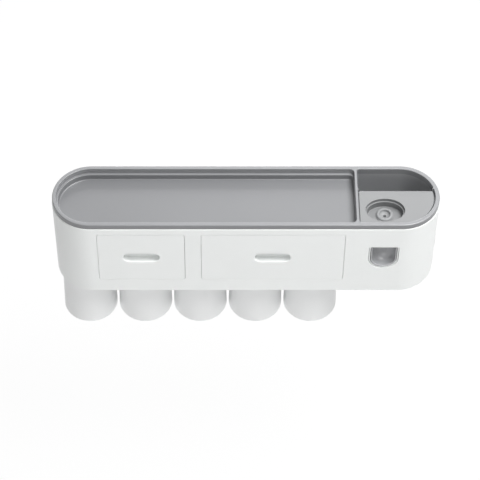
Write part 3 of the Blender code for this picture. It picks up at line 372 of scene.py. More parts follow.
# The top tray is a second moulding, in grey ABS. It plugs into the shell, its rim lies on the shell's
# edge, and it holds the long tray with its ledge, the deep pocket, and the ledge that the dispenser's
# deck lies on.

# Grey ABS, satin and slightly glossier than the white: its faces are even, and its rounds catch light.
grey_abs = moulded(
    "grey_abs_satin_moulded", "808183", "7B7C7E", roughness=0.30, ior=1.54, grain=0.0007, relief=0.000012
)

rim_inset = 0.0005
rim_above_shell = 0.0057
rim_height = rim_above_shell + joint_drop
rim_width = 0.0047
rim_round = 0.0012
rim_inside = rim_inset + rim_width
plug_inset = 0.0029
plug_depth = 0.0160
plug_in_rim = 0.0020
ledge_drop = 0.0066
ledge_width = 0.0030
pan_drop = 0.0140
pan_corner = 0.0050
pan_fillet = 0.0014

# At the left end the rim and the ledge are a little narrower than along the sides.
rim_end_saving = 0.0007
ledge_end_saving = 0.0015

tray_floor = 0.0020
inner_edge_round = 0.0008
ledge_edge_round = 0.00055
divider_width = 0.0030
divider_ledge = 0.0006
pocket_bottom = tray_low.z
pocket_corner = 0.0030
pocket_wall = 0.0018
deck_low, deck_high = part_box("dispenser_deck")
deck_gap = 0.0010
deck_ledge = 0.0017
deck_thickness = 0.0020
deck_top = deck_high.z
pocket_front = deck_high.y
divider_right = deck_low.x - deck_gap
divider_left = divider_right - divider_width
wall_step = 0.0003
step_drop = 0.0030
step_height = 0.0020


def right_block(name, inset, left, front, back, low, high, corner=0):
    """The body's plan right of the divider and between two depths. corner rounds its left edges."""
    made = long_block(name, inset, low, high)
    keep = block("keep", (left, front, low - overrun), (body_high.x + overrun, back, high + overrun))
    combine(made, keep, "INTERSECT")
    if corner:
        round_edges(made, [runs_along(2), lies_at(0, left)], corner, steps=6)
    return made


def pan_block(name, inset, left, right, low, high, corner):
    """A block on the long tray's plan, drawn in by inset: its left end is half round, its right edges
    have a corner's round."""
    made = block(name, (left, body_low.y + inset, low), (right, body_high.y - inset, high))
    round_edges(made, [runs_along(2), lies_at(0, left)], (half_depth - inset) * nearly_half, end_steps)
    round_edges(made, [runs_along(2), lies_at(0, right)], corner, steps=8)
    return made


tray = long_block("grey_top_tray", plug_inset, rim_top - plug_depth, rim_top - plug_in_rim)
rim = long_block("rim", rim_inset, rim_top - rim_height, rim_top)
round_edges(rim, [lies_at(2, rim_top)], rim_round, steps=6)
combine(tray, rim, "UNION")
far_back = body_high.y + overrun
walls = right_block(
    "walls", plug_inset + seat_gap, divider_left, pocket_front - pocket_wall, far_back,
    pocket_bottom, rim_top - rim_height - overrun,
)
combine(tray, walls, "UNION")

pan_left = body_low.x + rim_inside - rim_end_saving
ledge_top = rim_top - ledge_drop
pan = pan_block("pan", rim_inside, pan_left, divider_left, ledge_top, rim_top + overrun, pan_corner)
pan_floor = rim_top - pan_drop
lower_inset = rim_inside + ledge_width
lower_left = body_low.x + lower_inset - ledge_end_saving
lower_right = divider_left - divider_ledge
lower = pan_block("lower", lower_inset, lower_left, lower_right, pan_floor, ledge_top + overrun, pan_corner)
round_edges(lower, [lies_at(2, pan_floor)], pan_fillet, steps=6)
combine(pan, lower, "UNION")
combine(tray, pan)

far_front = body_low.y - overrun
recess_floor = deck_top - deck_thickness - seat_gap
recess = right_block(
    "recess", rim_inside, divider_right, far_front, pocket_front + overrun,
    recess_floor, rim_top + overrun, pocket_corner,
)
combine(tray, recess)
way = right_block(
    "way", rim_inside + deck_ledge, divider_right + deck_ledge, far_front,
    pocket_front - pocket_wall - seat_gap,
    rim_top - plug_depth - overrun, recess_floor + overrun, pocket_corner,
)
combine(tray, way)

# The pocket's front right corner lies where the straight front meets the round end, so it takes a round
# of its own, which touches both.
pocket_floor = pocket_bottom + tray_floor
pocket_top = rim_top + overrun
corner_y = pocket_front + pocket_corner
end_reach = half_depth - rim_inside
corner_x = end_centre + math.sqrt((end_reach - pocket_corner) ** 2 - (corner_y - middle_y) ** 2)
touching_y = middle_y + (corner_y - middle_y) * end_reach / (end_reach - pocket_corner)
pocket = right_block(
    "pocket", rim_inside, divider_right, touching_y, far_back, pocket_floor, pocket_top, pocket_corner
)
before = block(
    "before",
    (divider_right, pocket_front, pocket_floor),
    (corner_x, touching_y + 2 * pocket_corner, pocket_top),
)
before_edge = [runs_along(2), lies_at(0, divider_right), lies_at(1, pocket_front)]
round_edges(before, before_edge, pocket_corner, steps=6)
combine(pocket, before, "UNION")
corner = post("corner", corner_x, corner_y, pocket_floor, pocket_top, pocket_corner, sides=64)
combine(pocket, corner, "UNION")
combine(tray, pocket)


def inside_rim(a, b):
    """A test for an edge on the inner side of the rim."""
    reach = half_depth - rim_inset - rim_round - overrun
    return all(math.hypot(max(abs(p.x) - end_centre, 0), p.y - middle_y) < reach for p in (a, b))


round_edges(tray, [lies_at(2, rim_top), inside_rim], inner_edge_round, steps=5)
round_edges(tray, [lies_at(2, ledge_top), inside_rim], ledge_edge_round, steps=5)
step_bottom = rim_top - step_drop
step = pan_block(
    "step", rim_inside - wall_step, pan_left - wall_step, divider_left + wall_step,
    step_bottom, step_bottom + step_height, pan_corner + wall_step,
)
combine(tray, step)
smooth(tray)

# The long tray's walls and floor are a deeper grey than the rim: painted shade, for the shade that falls
# into the tray. The pocket's walls are a paler one: painted light, lifting the deep pocket's shade.
# Both are told apart by their place under the rim.
painted_shade_grey = "727375"
pocket_painted_light_grey = "959698"
pocket_tone_drop = 0.0080
place = add(grey_abs, "ShaderNodeTexCoord")
axes = add(grey_abs, "ShaderNodeSeparateXYZ", Vector=(place, "Object"))
shader = grey_abs.node_tree.nodes["Principled BSDF"]


def tone_region(side, edge, ceiling, colour):
    """Gives the part of the tray on one side of a place along X and under a height a tone of its own."""
    beside = add(grey_abs, "ShaderNodeMath", {"operation": side}, Value=(axes, "X"))
    beside.inputs[1].default_value = edge
    under = add(grey_abs, "ShaderNodeMath", {"operation": "LESS_THAN"}, Value=(axes, "Z"))
    under.inputs[1].default_value = ceiling
    both = add(grey_abs, "ShaderNodeMath", {"operation": "MULTIPLY"}, Value=(beside, "Value"))
    link(grey_abs, under, "Value", both, 1)
    toned = add(grey_abs, "ShaderNodeMix", {"data_type": "RGBA"}, Factor=(both, "Value"))
    earlier = shader.inputs["Base Color"].links[0].from_node
    link(grey_abs, earlier, mixed_colour, toned, first_colour)
    toned.inputs[second_colour].default_value = linear(colour)
    link(grey_abs, toned, mixed_colour, shader, "Base Color")


# Painted shade on the long tray's walls and floor, and painted light on the pocket's walls.
tone_region("LESS_THAN", divider_left + edge_round, ledge_top - edge_round, painted_shade_grey)
tone_region("GREATER_THAN", divider_left + edge_round, rim_top - pocket_tone_drop, pocket_painted_light_grey)
settle(tray, grey_abs, "holder", "tray_grey", "top_tray")

# The base plate closes the shell from below: a floor with the drawers' runners and guides, stepped up at
# the right over the bay that the toothbrushes hang in. Five round pockets in it take magnets, and two
# posts under the step take the comb's screws.

# Unpolished white polypropylene: greyer and duller than the shell, with a coarser grain.
white_pp = moulded(
    "white_polypropylene_moulded", "E6E7E7", "E1E2E2",
    roughness=0.48, ior=1.49, grain=0.0009, relief=0.00002,
)

comb_low, comb_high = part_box("brush_comb")
comb_gap = 0.0004
bay_wall = 0.0020
bay_left = comb_low.x - comb_gap - bay_wall
cup_centres = [(low.x + high.x) / 2 for low, high in cup_boxes]
magnet_low, magnet_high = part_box("magnet_1")
magnet_radius = (magnet_high.x - magnet_low.x) / 2
magnet_gap = 0.0004
box_inset = 0.0020
slide_gap = 0.0004
guide_thickness = 0.0016
guide_height = 0.0090
guide_clearance = 0.0018
guide_near = magnet_radius + guide_clearance
runner_width = 0.0040
runner_height = 0.0034
clearance_radius = 0.0019
comb_post_inset = 0.0060
comb_post_turn = 50

base = long_block("white_base_plate", plug_inset, base_bottom, ceiling_top)
over_floor = block(
    "over_floor", (body_low.x, body_low.y, base_top), (bay_left, body_high.y, ceiling_top + overrun)
)
combine(base, over_floor)
bay = block(
    "bay",
    (bay_left + bay_wall, body_low.y, base_bottom - overrun),
    (body_high.x, body_high.y, ceiling_bottom),
)
combine(base, bay)
for low, high in ((small_low, small_high), (large_low, large_high)):
    for side, edge in ((-1, low.x + box_inset), (1, high.x - box_inset)):
        inner = edge + side * slide_gap
        outer = inner + side * guide_thickness
        under = inner - side * runner_width
        for end in (-1, 1):
            near = middle_y + end * guide_near
            far = middle_y + end * (large_high.y - middle_y)
            for name, reach, height in (("guide", inner, guide_height), ("runner", under, runner_height)):
                rib = block(
                    name,
                    (min(reach, outer), min(near, far), base_top - overrun),
                    (max(reach, outer), max(near, far), base_top + height),
                )
                combine(base, rib, "UNION")
soften(base, edge_round)
for x in cup_centres:
    pit = post("pit", x, middle_y, magnet_low.z - seat_gap, base_top + overrun, magnet_radius + magnet_gap)
    combine(base, pit)
for x, y, foot in base_screw_sites:
    combine(base, post("hole", x, y, base_bottom - overrun, foot + overrun, clearance_radius))
comb_screw_sites = [
    (bay_left + bay_wall + comb_post_inset, body_high.y - plug_inset - comb_post_inset),
    on_end(1, comb_post_turn, plug_inset + comb_post_inset),
]
for x, y in comb_screw_sites:
    screw_post(base, x, y, comb_high.z + seat_gap, ceiling_bottom + overrun)
smooth(base)
settle(base, white_pp, "holder", "inner_white", "base_plate")

# The brush comb is a thin white plate across the back of the bay, screwed to the base plate's two posts.
# A brush head goes up in front of it and the brush's neck slides back into a notch with a round end.
brush_count = 5
notch_width = 0.0080
notch_length = 0.0340
notch_lead = 0.0012
comb_round = 0.0006

comb_foot, comb_head = comb_low.z - overrun, comb_high.z + overrun
comb = long_block("white_brush_comb", plug_inset, comb_low.z, comb_high.z)
keep = block("keep", (comb_low.x, comb_low.y, comb_foot), (comb_high.x + overrun, far_back, comb_head))
combine(comb, keep, "INTERSECT")
front_reach = half_depth - plug_inset
front_right = end_centre + math.sqrt(front_reach**2 - (middle_y - comb_low.y) ** 2)
notch_pitch = (front_right - comb_low.x) / brush_count
notch_back = comb_low.y + notch_length
for i in range(brush_count):
    x = comb_low.x + notch_pitch * (i + 0.5)
    notch = block(
        "notch",
        (x - notch_width / 2, comb_low.y - overrun, comb_foot),
        (x + notch_width / 2, notch_back, comb_head),
    )
    round_edges(notch, [runs_along(2), lies_at(1, notch_back)], notch_width / 2 * nearly_half, steps=12)
    combine(comb, notch)
round_edges(comb, [runs_along(2), lies_at(1, comb_low.y)], notch_lead, steps=4)
for x, y in comb_screw_sites:
    combine(comb, post("hole", x, y, comb_foot, comb_head, clearance_radius))
soften(comb, comb_round, steps=3)
smooth(comb)
settle(comb, white_pp, "holder", "inner_white", "brush_comb")

# Each drawer is one white ABS moulding, its front and box together. The front fills its opening to a fine
# seam, and a lying slot with half-round ends is scooped into it for the fingertips.
front_round = 0.0004
seam_filled = 0.0002
box_wall = 0.0018
box_corner = 0.0020
box_fillet = 0.0012
box_drop = 0.0200
recess_width = 0.0391
recess_height = 0.0139
recess_depth = 0.0090
recess_fillet = 0.0020
recess_wall = 0.0016
recess_lip = 0.0011
recess_drop = 0.0398


def slot_block(name, x, z, grow, front, back):
    """A lying slot with half-round ends about a point of the front, grown all round, its back filleted."""
    half_x, half_z = recess_width / 2 + grow, recess_height / 2 + grow
    made = block(name, (x - half_x, front, z - half_z), (x + half_x, back, z + half_z))
    round_edges(made, [runs_along(1)], half_z * nearly_half, steps=16)
    round_edges(made, [lies_at(1, back)], recess_fillet, steps=8)
    return made


for node, low, high in (("small_drawer", small_low, small_high), ("large_drawer", large_low, large_high)):
    seam = drawer_seam - seam_filled
    front = block(
        f"white_{node}",
        (low.x - seam_filled, low.y, drawer_bottom + seam),
        (high.x + seam_filled, low.y + shell_wall, drawer_top - seam),
    )
    round_edges(front, [runs_along(1)], drawer_corner - seam, steps=8)
    box = block(
        "box",
        (low.x + box_inset, low.y + shell_wall - seat_gap, low.z),
        (high.x - box_inset, high.y, rim_top - box_drop),
    )
    round_edges(box, [runs_along(2), lies_at(1, high.y)], box_corner, steps=6)
    combine(front, box, "UNION")
    room_inset = box_inset + box_wall
    room = block(
        "room",
        (low.x + room_inset, low.y + shell_wall, low.z + box_wall),
        (high.x - room_inset, high.y - box_wall, rim_top),
    )
    round_edges(room, [runs_along(2)], box_corner, steps=6)
    round_edges(room, [lies_at(2, low.z + box_wall)], box_fillet, steps=4)
    combine(front, room)
    x, z = (low.x + high.x) / 2, drawer_top - recess_drop
    deep = low.y + recess_depth
    combine(front, slot_block("bulge", x, z, recess_wall, low.y + seat_gap, deep + recess_wall), "UNION")
    combine(front, slot_block("scoop", x, z, 0, low.y - overrun, deep))
    reach_x, reach_z = recess_width / 2 + edge_round, recess_height / 2 + edge_round
    mouth = within(x - reach_x, x + reach_x, z - reach_z, z + reach_z)
    round_edges(front, [lies_at(1, low.y), mouth], recess_lip, steps=4)
    soften(front, front_round, steps=3)
    smooth(front)
    settle(front, white_abs, node, "drawer_white", node)

# The dispenser's deck is a grey ABS cover that drops into the tray right of the divider. A stepped oval
# well in it takes the shoulder of an upended toothpaste tube, and two bosses under it carry the pump.
nozzle_x = (window_low.x + window_high.x) / 2
nozzle_from_front = 0.02635
nozzle_y = body_low.y + nozzle_from_front
well_from_front = 0.02465
well_y = body_low.y + well_from_front
well_half_x, well_half_y = 0.02115, 0.01575
well_step = 0.0016
well_step_drop = 0.0065
well_drop = 0.0145
well_wall = 0.0016
well_fillet = 0.0008
boss_radius = 0.0032
boss_reach = well_half_x + well_wall + seat_gap
socket_hole_radius = 0.0074
deck_end_gap = 0.0014
deck_edge_round = 0.0005
oval_sides = 128


def oval(name, half_x, half_y, low, high):
    """A plain upright oval cylinder about the well's centre."""
    bpy.ops.object.select_all(action="DESELECT")
    bpy.ops.mesh.primitive_cylinder_add(
        vertices=oval_sides, radius=1, depth=1,
        location=(nozzle_x, well_y, (low + high) / 2), scale=(half_x, half_y, high - low),
    )
    made = bpy.context.object
    made.name = name
    place_in_mesh(made)
    return made


deck_bottom = deck_top - deck_thickness
inside_deck = deck_top - deck_thickness / 2
well_bottom = deck_low.z
well_step_z = rim_top - well_step_drop
well_floor = rim_top - well_drop
deck = right_block(
    "grey_dispenser_deck", rim_inside + deck_end_gap, deck_low.x, far_front, pocket_front,
    deck_bottom, deck_top, pocket_corner - deck_gap,
)
outside = oval("outside", well_half_x + well_wall, well_half_y + well_wall, well_bottom, inside_deck)
combine(deck, outside, "UNION")
dispenser_screw_sites = [(nozzle_x + side * boss_reach, well_y) for side in (-1, 1)]
for x, y in dispenser_screw_sites:
    combine(deck, post("boss", x, y, well_bottom, inside_deck, boss_radius), "UNION")
well = oval("well", well_half_x, well_half_y, well_step_z, deck_top + overrun)
narrow = oval("narrow", well_half_x - well_step, well_half_y - well_step, well_floor, well_step_z + overrun)
round_edges(narrow, [lies_at(2, well_floor)], well_fillet, steps=4)
combine(well, narrow, "UNION")
combine(deck, well)
for x, y in dispenser_screw_sites:
    combine(deck, post("hole", x, y, well_bottom - overrun, well_bottom + screw_bite, screw_hole_radius))
socket_hole = post(
    "hole", nozzle_x, nozzle_y, well_bottom - overrun, well_floor + overrun, socket_hole_radius
)
combine(deck, socket_hole)
for height in (deck_top, well_step_z):
    round_edges(deck, [lies_at(2, height)], deck_edge_round, steps=4)
smooth(deck)

# The deck's mould is etched: a deeper, matt grey that shows no highlight.
etched_abs = moulded(
    "grey_abs_matt_etched", "757677", "707172", roughness=0.42, ior=1.54, grain=0.0007, relief=0.000012
)
settle(deck, etched_abs, "holder", "deck_grey", "dispenser_deck")

# The tube socket is a soft ring pushed into the well's floor. Its bowl grips the neck of the toothpaste
# tube, and a bore leads on to the pump.

# Grey silicone: soft to the eye, matt and even, with the finest grain of all.
soft_silicone = moulded(
    "grey_silicone_moulded", "898A8B", "838485", roughness=0.55, ior=1.41, grain=0.0005, relief=0.000008
)

socket_radius = 0.0097
socket_neck_radius = 0.0070
flange_rise = 0.0005
flange_round = 0.0002
ring_radius = 0.0092
outer_ring_round = 0.0021
mouth_radius = 0.0058
mouth_ring_round = 0.0012
bowl_depth = 0.0030
bowl_start = 72
bowl_steps = 6
bore_radius = 0.0012
socket_low, socket_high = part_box("tube_socket")


def corner_arc(radius, height, size, start, sweep, steps=5):
    """Points of a round corner of a profile about a radius and a height. Angles are in degrees."""
    turns = [math.radians(start + sweep * i / steps) for i in range(steps + 1)]
    return [(radius + size * math.cos(t), height + size * math.sin(t)) for t in turns]


def turned(name, x, y, profile, sides, ring=False):
    """A turned piece: a circle drawn out along a profile of radii and heights, and closed at both ends by
    a face, or on itself where it is a ring."""
    bpy.ops.object.select_all(action="DESELECT")
    radius, height = profile[0]
    bpy.ops.mesh.primitive_circle_add(vertices=sides, radius=radius, location=(x, y, height))
    made = bpy.context.object
    made.name = name
    place_in_mesh(made)
    bpy.ops.object.mode_set(mode="EDIT")
    bpy.ops.mesh.select_all(action="SELECT")
    if not ring:
        bpy.ops.mesh.edge_face_add()
        bpy.ops.mesh.select_mode(type="EDGE")
    steps = list(zip(profile, profile[1:]))
    if ring:
        steps.append((profile[-1], profile[0]))
    for (radius, height), (next_radius, next_height) in steps:
        bpy.ops.mesh.extrude_edges_move(TRANSFORM_OT_translate={"value": (0, 0, next_height - height)})
        share = next_radius / radius
        bpy.ops.transform.resize(value=(share, share, 1), center_override=(x, y, next_height))
    if ring:
        bpy.ops.mesh.select_all(action="SELECT")
        bpy.ops.mesh.remove_doubles(threshold=same_place)
    else:
        bpy.ops.mesh.edge_face_add()
    bpy.ops.mesh.select_all(action="SELECT")
    bpy.ops.mesh.normals_make_consistent(inside=False)
    bpy.ops.object.mode_set(mode="OBJECT")
    return made


foot = well_floor + seat_gap
flange_top = foot + flange_rise
flange_rim = socket_radius - flange_round
ring_edge = socket_high.z - mouth_ring_round
profile = corner_arc(
    ring_radius - outer_ring_round, socket_high.z - outer_ring_round, outer_ring_round, 90, -90, steps=10
)
profile += corner_arc(ring_radius + flange_round, flange_top + flange_round, flange_round, 180, 90, steps=3)
profile += corner_arc(flange_rim, flange_top - flange_round, flange_round, 90, -90, steps=3)
profile += [(socket_radius, foot), (socket_neck_radius, foot), (socket_neck_radius, socket_low.z)]
profile += [(bore_radius, socket_low.z)]
for i in range(bowl_steps + 1):
    turn = math.radians(bowl_start * (bowl_steps - i) / bowl_steps)
    profile += [(mouth_radius * math.cos(turn), ring_edge - bowl_depth * math.sin(turn))]
profile += corner_arc(mouth_radius + mouth_ring_round, ring_edge, mouth_ring_round, 165, -75, steps=6)
socket = turned("grey_tube_socket", nozzle_x, nozzle_y, profile, sides=96, ring=True)
smooth(socket)
settle(socket, soft_silicone, "holder", "soft_grey", "tube_socket")

# The window's bezel is a thin white ABS frame pressed into the shell. The paddle in it is a scoop that
# the brush head pushes back, open at the top under the outlet and rounded at its floor.
bezel_width = 0.0016
bezel_round = 0.0004
bezel_seam = 0.0005
bezel_sink = 0.0002
bezel_front = window_low.y + bezel_sink
bezel_inside = bezel_gap + bezel_width
bezel = window_block("white_window_bezel", bezel_seam, bezel_front, window_high.y)
combine(bezel, window_block("hole", bezel_inside, window_low.y - overrun, window_high.y + overrun))
soften(bezel, bezel_round, steps=3)
smooth(bezel)
settle(bezel, white_abs, "holder", "bezel_white", "window_bezel")

# A paler grey ABS, smoother and glossier than the tray's, so that the scoop shades softly.
satin_abs = moulded(
    "light_grey_abs_satin_moulded", "A9AAAC", "A3A4A6",
    roughness=0.26, ior=1.54, grain=0.0007, relief=0.000006,
)

paddle_low, paddle_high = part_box("push_paddle")
paddle_gap = 0.0007
paddle_inset = bezel_inside + paddle_gap
paddle_lip = 0.0014
paddle_depth = 0.0149
paddle_wall = 0.0016
paddle_round = 0.0003
paddle_forward = 0.0004
paddle_front = paddle_low.y - paddle_forward
paddle_back = paddle_low.y + paddle_depth
paddle_axis_drop = 0.0130
paddle_axis = window_high.z + bezel_gap - paddle_axis_drop
scoop_floor = paddle_back - paddle_wall
scoop_inset = paddle_inset + paddle_lip
scoop_fillet = 0.0095
mouth_round = 0.0009
rod_boss_radius = 0.0045
rod_gap_radius = 0.0029
paddle = window_block("grey_push_paddle", paddle_inset, paddle_front, paddle_back)
scoop = window_block(
    "scoop", scoop_inset, paddle_low.y - overrun, scoop_floor, rise=window_corner + paddle_inset
)
below_top = window_high.z + bezel_gap - scoop_inset
scoop_edge = [lies_at(1, scoop_floor), lambda a, b: min(a.z, b.z) < below_top]
round_edges(scoop, scoop_edge, scoop_fillet, steps=10)
combine(paddle, scoop)
window_half = (window_high.x - window_low.x) / 2 + bezel_gap
arc_centre = window_low.z - bezel_gap + window_half
scoop_reach = window_half - scoop_inset + edge_round


def round_scoop(a, b):
    """A test for an edge of the scoop's mouth, below the paddle's top."""
    return all(math.hypot(p.x - nozzle_x, min(p.z - arc_centre, 0)) < scoop_reach for p in (a, b))


round_edges(paddle, [lies_at(1, paddle_front), round_scoop], mouth_round, steps=5)
soften(paddle, paddle_round, steps=3)


def lying(name, x, z, front, back, radius, sides=48):
    """A plain cylinder that lies along the Y axis between two depths."""
    made = post(name, 0, 0, front, back, radius, sides)
    made.rotation_euler = (-math.pi / 2, 0, 0)
    made.location = (x, 0, z)
    place_in_mesh(made)
    return made


boss_front = scoop_floor + overrun / 2
boss = lying("boss", nozzle_x, paddle_axis, boss_front, paddle_high.y, rod_boss_radius, sides=64)
combine(paddle, boss, "UNION")
combine(paddle, lying("hole", nozzle_x, paddle_axis, paddle_back, paddle_high.y + overrun, rod_gap_radius))
smooth(paddle)
settle(paddle, satin_abs, "paddle", "paddle_grey", "push_paddle")

# The cups are tumblers with a slight draft and a rolled lip. They hang mouth down, because a steel disc
# let into each base is held by the magnet above it.

# White polypropylene from a smooth mould: as white as the shell, with a faint sheen down the side.
cup_pp = moulded(
    "white_polypropylene_cup", "EFF0F0", "EBECEC", roughness=0.34, ior=1.49, grain=0.0012, relief=0.00001
)

cup_mouth_radius = 0.0304
cup_taper = 0.0021
cup_wall = 0.0020
cup_base = 0.0030
cup_round = 0.0020
cup_lip = 0.0008
cup_draft = 4
disc_pit_radius = 0.0144
disc_pit_depth = 0.0013
pit_edge = 0.0002
cup_base_radius = cup_mouth_radius - cup_taper


def repeated(piece, name, shift):
    """A copy of a piece, with a mesh of its own, moved aside by a shift."""
    made = piece.copy()
    made.data = piece.data.copy()
    made.name = name
    bpy.context.scene.collection.objects.link(made)
    made.location = shift
    place_in_mesh(made)
    return made


top, mouth = cup_boxes[0][1].z, cup_boxes[0][0].z
inner_base = top - cup_base
inner_corner = cup_base_radius - cup_wall - cup_round
inner_lip = cup_mouth_radius - cup_wall + cup_lip
profile = [(disc_pit_radius, top - disc_pit_depth), (disc_pit_radius, top - pit_edge)]
profile += [(disc_pit_radius + pit_edge, top)]
profile += corner_arc(cup_base_radius - cup_round, top - cup_round, cup_round, 90, cup_draft - 90, steps=8)
profile += corner_arc(cup_mouth_radius - cup_lip, mouth + cup_lip, cup_lip, 0, -90)
profile += corner_arc(inner_lip, mouth + cup_lip, cup_lip, -90, cup_draft / 2 - 90)
profile += corner_arc(inner_corner, inner_base - cup_round, cup_round, cup_draft, 90 - cup_draft, steps=8)
cups = [turned("white_cup_1", cup_centres[0], middle_y, profile, sides=128)]
smooth(cups[0])
for i in range(1, cup_count):
    cups += [repeated(cups[0], f"white_cup_{i + 1}", (cup_centres[i] - cup_centres[0], 0, 0))]
for i, cup in enumerate(cups):
    settle(cup, cup_pp, f"hung_cup_{i + 1}", "cup_white", f"cup_{i + 1}")

# A thin disc of zinc-plated steel is pressed into each cup's base, and a nickel-plated magnet into each
# pocket of the base plate. Both are blanked and tumbled, which leaves a broken edge.


def plated(name, colour, roughness, scratch):
    """A bright metal whose fine scratches, all one way, vary its tone and its gloss. scratch is the width
    of one, drawn wider than it is, so that it shows."""
    stretch = 12
    worn_share = 0.88
    smoother, rougher = 0.06, 0.08
    material, shader = new_material(name)
    shader.inputs["Metallic"].default_value = 1.0
    place = add(material, "ShaderNodeTexCoord")
    drawn = add(material, "ShaderNodeMapping", {"Scale": (1, stretch, 1)}, Vector=(place, "Object"))
    lines = add(
        material, "ShaderNodeTexNoise", {"Scale": 1 / scratch / stretch, "Detail": 3.0},
        Vector=(drawn, "Vector"),
    )
    tone = add(material, "ShaderNodeMix", {"data_type": "RGBA"}, Factor=(lines, "Fac"))
    tone.inputs[first_colour].default_value = [c * worn_share for c in linear(colour)[:3]] + [1.0]
    tone.inputs[second_colour].default_value = linear(colour)
    rough = add(
        material, "ShaderNodeMapRange", {"To Min": roughness - smoother, "To Max": roughness + rougher},
        Value=(lines, "Fac"),
    )
    link(material, tone, mixed_colour, shader, "Base Color")
    link(material, rough, "Result", shader, "Roughness")
    return material


# Zinc is a cool, slightly dull grey, and nickel a warmer and brighter one.
zinc_steel = plated("zinc_plated_steel", "C9CBCC", roughness=0.32, scratch=0.0002)
nickel = plated("nickel_plated_magnet", "C6C3BD", roughness=0.22, scratch=0.0003)
blank_round = 0.0002


def blank(name, node):
    """A round blank with broken edges, at the place and size of a node."""
    low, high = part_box(node)
    radius = (high.x - low.x) / 2
    profile = [(radius - blank_round, low.z), (radius, low.z + blank_round)]
    profile += [(radius, high.z - blank_round), (radius - blank_round, high.z)]
    made = turned(name, (low.x + high.x) / 2, middle_y, profile, sides=96)
    smooth(made, sharp=20)
    return made


discs = [blank("steel_cup_disc_1", "cup_disc_1")]
magnets = [blank("nickel_magnet_1", "magnet_1")]
for i in range(1, cup_count):
    shift = (cup_centres[i] - cup_centres[0], 0, 0)
    discs += [repeated(discs[0], f"steel_cup_disc_{i + 1}", shift)]
    magnets += [repeated(magnets[0], f"nickel_magnet_{i + 1}", shift)]
for i in range(cup_count):
    settle(discs[i], zinc_steel, f"hung_cup_{i + 1}", "steel", f"cup_disc_{i + 1}")
    settle(magnets[i], nickel, "holder", "nickel", f"magnet_{i + 1}")

# The screws are self-tapping, with pan heads and a cross recess, in zinc-plated steel. All nine are alike
# and are driven from below: five hold the base plate, two the brush comb and two the pump.
head_height = 0.0020
head_radius = 0.0028
head_round = 0.0012
shank_radius = 0.0014
tip_radius = shank_radius / 4
tip_length = 0.0020
slot_across = 0.0034
slot_wide = 0.0007
slot_deep = 0.0012
screw_nodes = [f"base_screw_{i + 1}" for i in range(len(base_screw_sites))]
screw_nodes += [f"comb_screw_{i + 1}" for i in range(len(comb_screw_sites))]
screw_nodes += [f"dispenser_screw_{i + 1}" for i in range(len(dispenser_screw_sites))]
low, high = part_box(screw_nodes[0])
x, y = (low.x + high.x) / 2, (low.y + high.y) / 2
shoulder = low.z + head_height
profile = [(head_radius - head_round, low.z)]
profile += corner_arc(head_radius - head_round, low.z + head_round, head_round, -80, 80)
profile += [(head_radius, shoulder), (shank_radius, shoulder)]
profile += [(shank_radius, high.z - tip_length), (tip_radius, high.z)]
screws = [turned(f"steel_{screw_nodes[0]}", x, y, profile, sides=48)]
for half_x, half_y in ((slot_across / 2, slot_wide / 2), (slot_wide / 2, slot_across / 2)):
    drive = block(
        "drive", (x - half_x, y - half_y, low.z - overrun), (x + half_x, y + half_y, low.z + slot_deep)
    )
    combine(screws[0], drive)
smooth(screws[0])
for node in screw_nodes[1:]:
    screws += [repeated(screws[0], f"steel_{node}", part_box(node)[0] - low)]
for node, screw in zip(screw_nodes, screws):
    settle(screw, zinc_steel, "holder", "screw_steel", node)

# The pump behind the window: a white housing with its barrel and cap, a rod and piston with a silicone
# seal, a return spring, and the soft outlet that hangs over the scoop.
for node, material in (
    ("pump_housing", white_pp), ("barrel_cap", white_pp), ("pump_plunger", white_pp),
    ("piston_seal", soft_silicone),
):
    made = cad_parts[node]
    made.data.materials.clear()
    made.data.materials.append(material)

# Drawn spring wire: bright grey steel, with the fine lines that the die leaves in it.
spring_steel = plated("drawn_spring_steel", "B9BBBD", roughness=0.28, scratch=0.0002)
spring_low, spring_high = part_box("return_spring")
wire_radius = 0.0004
wire_sides = 10
spring_turns = 5
turn_steps = 32
spring_radius = (spring_high.x - spring_low.x) / 2 - wire_radius
spring_length = spring_high.y - spring_low.y
bpy.ops.object.select_all(action="DESELECT")
bpy.ops.mesh.primitive_circle_add(
    vertices=wire_sides, radius=wire_radius, location=(spring_radius, 0, 0), rotation=(math.pi / 2, 0, 0)
)
spring = bpy.context.object
spring.name = "steel_return_spring"
place_in_mesh(spring)
coil = spring.modifiers.new("coil", "SCREW")
coil.axis = "Z"
coil.angle = 2 * math.pi * spring_turns
coil.screw_offset = spring_length - 2 * wire_radius
coil.steps = coil.render_steps = turn_steps * spring_turns
bpy.ops.object.modifier_apply(modifier=coil.name)
bpy.ops.object.mode_set(mode="EDIT")
bpy.ops.mesh.select_all(action="DESELECT")
bpy.ops.mesh.select_mode(type="EDGE")
bpy.ops.mesh.select_non_manifold()
bpy.ops.mesh.edge_face_add()
bpy.ops.mesh.select_all(action="SELECT")
bpy.ops.mesh.normals_make_consistent(inside=False)
bpy.ops.object.mode_set(mode="OBJECT")
spring.rotation_euler = (-math.pi / 2, 0, 0)
spring.location = (nozzle_x, spring_low.y + wire_radius, paddle_axis)
place_in_mesh(spring)
smooth(spring, sharp=80)
settle(spring, spring_steel, "holder", "spring_steel", "return_spring")
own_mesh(spring)

